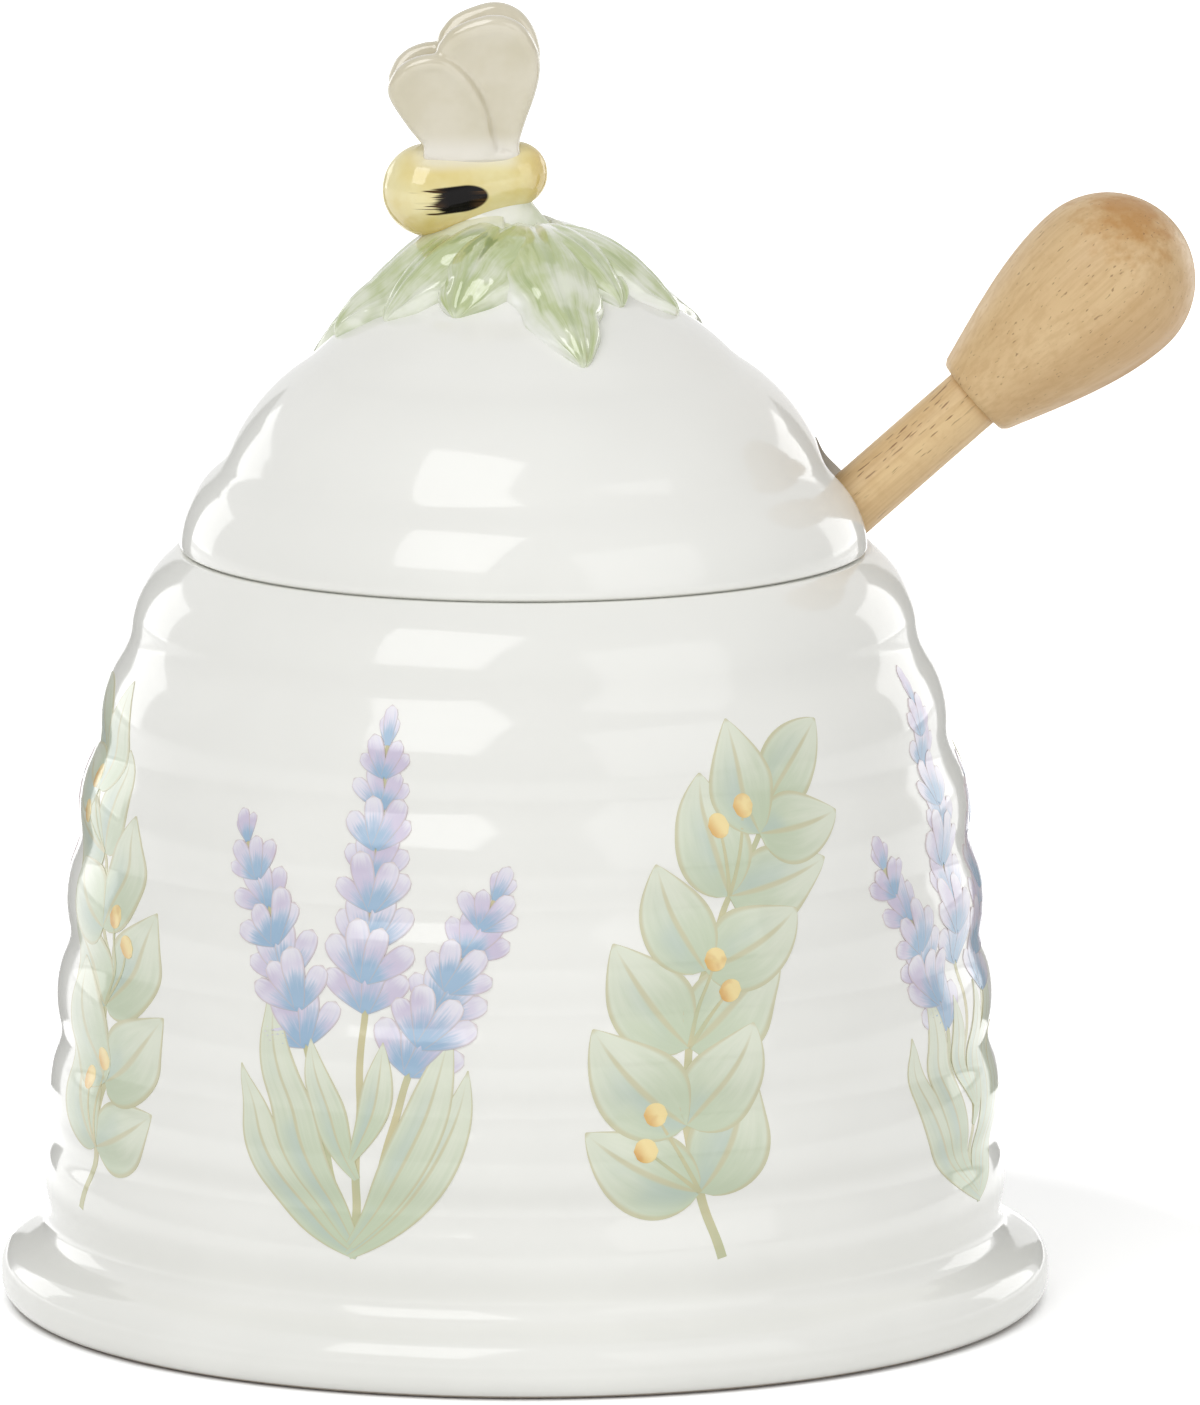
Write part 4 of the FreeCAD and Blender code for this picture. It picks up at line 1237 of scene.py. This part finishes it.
class Sheet:
    """Flat motifs for one colour, each a thin closed patch: x along the wall, z up and y outwards."""

    def __init__(self):
        self.points = []
        self.faces = []
        self.skin = []

    def patch(self, rows, lift):
        """Adds a patch from a grid of (along, up) points."""
        wide = len(rows[0])
        self.faces += slab_faces(len(self.points), len(rows), wide)
        for depth in (lift + PRINT_DEPTH, 0.0):
            for i, row in enumerate(rows):
                for j, (s, h) in enumerate(row):
                    self.points.append((s * MM, depth * MM, h * MM))
                    self.skin.append((i / (len(rows) - 1), j / (wide - 1)))

    def blade(self, base, heading, bend, length, half, outline, lift):
        """A leaf or petal: its middle line starts at base and turns evenly by bend degrees."""
        count = max(PRINT_LEAST[0], round(length / PRINT_STEP))
        across = max(PRINT_LEAST[1], round(half * 2 / PRINT_STEP))
        s, h = base
        rows = []
        for i in range(count + 1):
            u = i / count
            way = math.radians(heading + bend * u)
            wide = half * outline(u)
            row = []
            for j in range(across + 1):
                v = wide * (2 * j / across - 1)
                row.append((s - math.sin(way) * v, h + math.cos(way) * v))
            rows.append(row)
            s += math.cos(way) * length / count
            h += math.sin(way) * length / count
        self.patch(rows, lift)

    def ribbon(self, run, half, lift):
        """A stem along a run of points, thinner towards its end."""
        rows = []
        for i, (s, h) in enumerate(run):
            way = math.radians(heading_at(run, i))
            wide = half * (1 - STEM_TAPER * i / len(run))
            rows.append([(s - math.sin(way) * wide * v, h + math.cos(way) * wide * v) for v in STEM_ACROSS])
        self.patch(rows, lift)

    def printed(self, name, finish, wall):
        """The motifs wrapped on the pot's wall."""
        flat = new_mesh(name + "_flat", self.points, self.faces, skin=self.skin)
        values = {"Wall Line": wall, "Wall Start": PRINT_WALL[0] * MM, "Wall Step": PRINT_WALL[2] * MM,
                  "Round": PRINT_RADIUS * MM, "Depth": PRINT_DEPTH * MM, "Finish": finish}
        made = tidy_mesh(PRINTING.run(name, flat, values), weld=False)
        made.set_sharp_from_angle(angle=math.radians(PRINT_CREASE))
        return made


def wall_line():
    """The pot's outer outline at even heights, for the printing."""
    outside = by_height(pot_outside())
    low, high, step = PRINT_WALL
    heights = [low + k * step for k in range(round((high - low) / step) + 1)]
    points = [(value_at(outside, z) * MM, 0.0, z * MM) for z in heights]
    return in_scene("wall_line", new_mesh("wall_line", points, []))


def leaf_outline(u):
    """A broad pointed leaf on a short stalk."""
    return max(0.02, math.sin(math.pi * u ** 0.8) ** 0.8 * (1 - 0.15 * u))


def slender_outline(u):
    """A long narrow leaf, widest above its middle."""
    return max(0.03, math.sin(math.pi * (0.08 + 0.92 * u) ** 1.15) ** 0.9)


def floret_outline(u):
    """A small bud-like petal, narrow at its foot and round at its tip."""
    return max(0.05, (0.3 + 0.7 * u) * math.sqrt(max(0.0, 1 - u ** 4)))


def round_outline(u):
    """A round berry."""
    return max(0.05, math.sqrt(max(0.0, 1 - (2 * u - 1) ** 2)))


def print_lavender(place, lean, rng, stems, leaves, florets):
    """One lavender sprig: three stems with whorls of florets over slender leaves."""
    for k, (z, heading, bend, length, half) in enumerate(LAVENDER_LEAVES):
        if lean < 0:
            heading, bend = 180 - heading, -bend
        foot = (place - LEAF_CROSSING * math.cos(math.radians(heading)), z)
        leaves.blade(foot, heading + rng.uniform(*LEAF_SWAY), bend, length * rng.uniform(*MOTIF_SIZES),
                     half, slender_outline, LEAF_LIFT + PRINT_LAYER * k)
    for k, (offset, reach, tip, flowers) in enumerate(LAVENDER_STEMS):
        foot = (place + lean * offset, LAVENDER_FOOT_Z)
        top = (place + lean * reach, tip)
        middle = (foot[0] + (top[0] - foot[0]) * STEM_SWING, (foot[1] + top[1]) / 2)
        run = smooth_points([foot, middle, top], STEM_STEP) + [top]
        last = len(run) - 1
        stems.ribbon(run, LAVENDER_RIBBON[0], LAVENDER_RIBBON[1] + PRINT_LAYER / 2 * k)
        start = last - round(flowers / STEM_STEP)
        whorls = round(flowers / WHORL_STEP)
        for w in range(whorls + 1):
            i = min(last, start + round(w * (last - start) / whorls))
            way = heading_at(run, i)
            full = 1.0 - WHORL_SHRINK[0] * (w / whorls) ** WHORL_SHRINK[1]
            layer = FLORET_LIFT + len(WHORL) * PRINT_LAYER * (w % 2)
            for j, (turn, size) in enumerate(WHORL if w < whorls else TIP_WHORL):
                size *= full * rng.uniform(*MOTIF_SIZES)
                florets.blade(run[i], way + turn + rng.uniform(*FLORET_SWAY), -turn * FLORET_CURL,
                              FLORET[0] * size, FLORET[1] * size, floret_outline, layer + PRINT_LAYER * j)


def print_spray(place, lean, rng, stems, leaves, berries):
    """One leafy spray: a curved stem with pairs of leaves, and berries on short stalks."""
    run = smooth_points([(place + lean * s, h) for s, h in SPRAY_STEM], STEM_STEP)
    last = len(run) - 1
    length, half = SPRAY_LEAF
    stems.ribbon(run, *SPRAY_RIBBON)
    for p in range(SPRAY_PAIRS):
        share = SPRAY_SPAN[0] + SPRAY_SPAN[1] * p / (SPRAY_PAIRS - 1)
        i = round(share * last)
        way = heading_at(run, i)
        size = 1.0 - SPRAY_FULLEST[1] * abs(share - SPRAY_FULLEST[0])
        for side in (-1, 1):
            scale = size * rng.uniform(*SPRAY_SIZES)
            lift = LEAF_LIFT + PRINT_LAYER * (p % 2) * 2 + PRINT_LAYER * (side > 0)
            leaves.blade(run[i], way + side * rng.uniform(*SPRAY_TURNS), -side * rng.uniform(*SPRAY_BENDS),
                         length * scale, half * scale, leaf_outline, lift)
        if p % 2 == 0:
            side = 1 if p % 4 == 0 else -1
            for turn, reach in BERRY_STALKS:
                a = math.radians(way + side * turn)
                end = (run[i][0] + reach * math.cos(a), run[i][1] + reach * math.sin(a))
                stems.ribbon(line_points(run[i], end, STEM_STEP) + [end], *STALK_RIBBON)
                berries.blade((end[0] - BERRY, end[1]), 0.0, 0.0, 2 * BERRY, BERRY, round_outline,
                              BERRY_LIFT)
    scale, bend = SPRAY_END
    leaves.blade(run[-1], heading_at(run, last), -lean * bend, length * scale, half * scale, leaf_outline,
                 LEAF_LIFT)


def border_sheets():
    """The whole border round the pot, as one sheet for each colour."""
    stems, leaves, florets, berries = Sheet(), Sheet(), Sheet(), Sheet()
    rng = random.Random(PRINT_SEED)
    pitch = FULL_TURN * PRINT_RADIUS / SPRIG_PAIRS
    for k in range(SPRIG_PAIRS):
        lean = 1 if k % 2 == 0 else -1
        print_lavender(LAVENDER_PLACE + k * pitch, lean, rng, stems, leaves, florets)
        print_spray(SPRAY_PLACE + k * pitch, lean, rng, stems, leaves, berries)
    return {"stems": (stems, printed_stem_colour), "leaves": (leaves, printed_leaf_colour),
            "florets": (florets, printed_floret_colour), "berries": (berries, printed_berry_colour)}


# The pot and its print
white_glaze = porcelain_finish()
pot = turned_mesh("pot_hive", pot_outline(), POT_SIDES, white_glaze)
add_piece("pot_hive", pot, "pot", ["pot_body"])
wall = wall_line()
for colour_name, (sheet, colour) in border_sheets().items():
    printed = sheet.printed("print_" + colour_name, print_finish("printed_" + colour_name, colour), wall)
    add_piece("print_" + colour_name, printed, "pot")
wall_mesh = wall.data
bpy.data.objects.remove(wall)
bpy.data.meshes.remove(wall_mesh)

# The lid and what is on it
add_piece("lid_shell", lid_mesh(white_glaze), "lid", ["lid_dome"])
leaf_green = leaf_finish()
for leaf, spec in LEAVES.items():
    add_piece("sprig_" + leaf, leaf_mesh(leaf, spec, leaf_green), "lid", [leaf])
bee = clay_mesh("bee", bee_forms(), bee_finish(), BEE_CLAY)
add_piece("bee", bee, "lid", ["bee_body"])
mound = clay_mesh("bee_mound", mound_forms(), mound_finish(), MOUND_CLAY)
add_piece("bee_mound", mound, "lid")
wing_cream = wing_finish()
for wings, wing_side in (("bee_wings_front", -1), ("bee_wings_back", 1)):
    lobes = clay_mesh("wings", wing_forms(wing_side), wing_cream, WING_CLAY)
    add_piece("glazed_" + wings, lobes, "lid", [wings])

# The dipper
knob_wood = wood_finish("knob_wood", KNOB_TONES, *KNOB_PORES)
dowel_wood = wood_finish("dowel_wood", DOWEL_TONES, *DOWEL_PORES)
for turned_name, node, outline, wood in (("knob", "dipper_knob", knob_outline(), knob_wood),
                                         ("dowel", "dipper_shaft", shaft_outline(), dowel_wood),
                                         ("honey_head", "dipper_head", head_outline(), knob_wood)):
    turned = on_dipper(turned_mesh(turned_name, outline, DIPPER_SIDES, wood))
    add_piece(turned_name, turned, "dipper", [node])


# The studio
def floor_finish():
    """White paper that takes the pot's shadow and fades into the white background further out."""
    f = Finish("white_paper", Roughness=0.9, Specular_IOR_Level=0.1, Emission_Strength=1.0)
    here = f.here()
    f.feed("Base Color", f.blend(f.noise(here, 40.0, 2.0), *PAPER_WHITES))
    away = f.node("ShaderNodeVectorMath", {"operation": "LENGTH"}, {0: here}, "Value")
    fade = f.greatest(f.ease(away, *FLOOR_CONTACT, 0.0, FLOOR_GLOW), f.ease(away, *FLOOR_FADE))
    f.feed("Emission Color", f.seen() * fade)
    return f.material


def card_finish(name):
    """Matt grey card."""
    f = Finish(name, Roughness=0.9, Specular_IOR_Level=0.0)
    f.feed("Base Color", f.blend(f.noise(f.here(), 30.0, 2.0), *CARD_GREYS))
    return f.material


def soft_box(name, azimuth, rise, distance, size, glow):
    """A soft box seen from the pot at an azimuth and a rise."""
    light = bpy.data.lights.new(name, "AREA")
    light.shape = "RECTANGLE"
    light.size, light.size_y = size
    light.energy = math.pi * size[0] * size[1] * glow
    lamp = in_scene(name, light)
    a, e = math.radians(azimuth), math.radians(rise)
    away = Vector((math.sin(a) * math.cos(e), -math.cos(a) * math.cos(e), math.sin(e)))
    lamp.location = LIGHT_AIM + away * distance
    lamp.rotation_euler = (-away).to_track_quat("-Z", "Y").to_euler()


def grey_card(name, near, far, back, height):
    """A card behind the pot, beside the picture, that only glaze mirrors, so that white shows on white."""
    corners = [(near, back, 0.0), (far, back, 0.0), (far, back, height), (near, back, height)]
    card = in_scene(name, new_mesh(name, corners, [(0, 1, 2, 3)], card_finish(name + "_grey")))
    card.visible_camera = False
    card.visible_diffuse = False
    card.visible_shadow = False


floor_corners = [(x * FLOOR_HALF, y * FLOOR_HALF, 0) for x, y in ((-1, -1), (1, -1), (1, 1), (-1, 1))]
floor = in_scene("floor", new_mesh("floor", floor_corners, [(0, 1, 2, 3)], floor_finish()))

world = bpy.data.worlds.new("studio")
bpy.context.scene.world = world
world.use_nodes = True
sky = Nodes(world.node_tree)
sky_light = sky.node("ShaderNodeMapRange", None,
                     {"Value": sky.seen(), "To Min": WORLD_LIGHT, "To Max": 1.0})
background = sky.tree.nodes["Background"]
background.inputs["Color"].default_value = (1.0, 1.0, 1.0, 1.0)
sky.tree.links.new(sky_light.socket, background.inputs["Strength"])

for box, box_spec in SOFT_BOXES.items():
    soft_box(box, *box_spec)
for card_name, card_spec in GREY_CARDS.items():
    grey_card(card_name, *card_spec)

camera_data = bpy.data.cameras.new("camera")
camera_data.sensor_width = CAMERA_SENSOR
camera_data.lens = CAMERA_SENSOR * CAMERA_DISTANCE / FRAME_HEIGHT
camera = in_scene("camera", camera_data)
rise = math.radians(CAMERA_RISE)
camera.location = CAMERA_AIM + CAMERA_DISTANCE * Vector((0.0, -math.cos(rise), math.sin(rise)))
camera.rotation_euler = (CAMERA_AIM - camera.location).to_track_quat("-Z", "Y").to_euler()
bpy.context.scene.camera = camera
bpy.context.scene.view_settings.view_transform = "Standard"
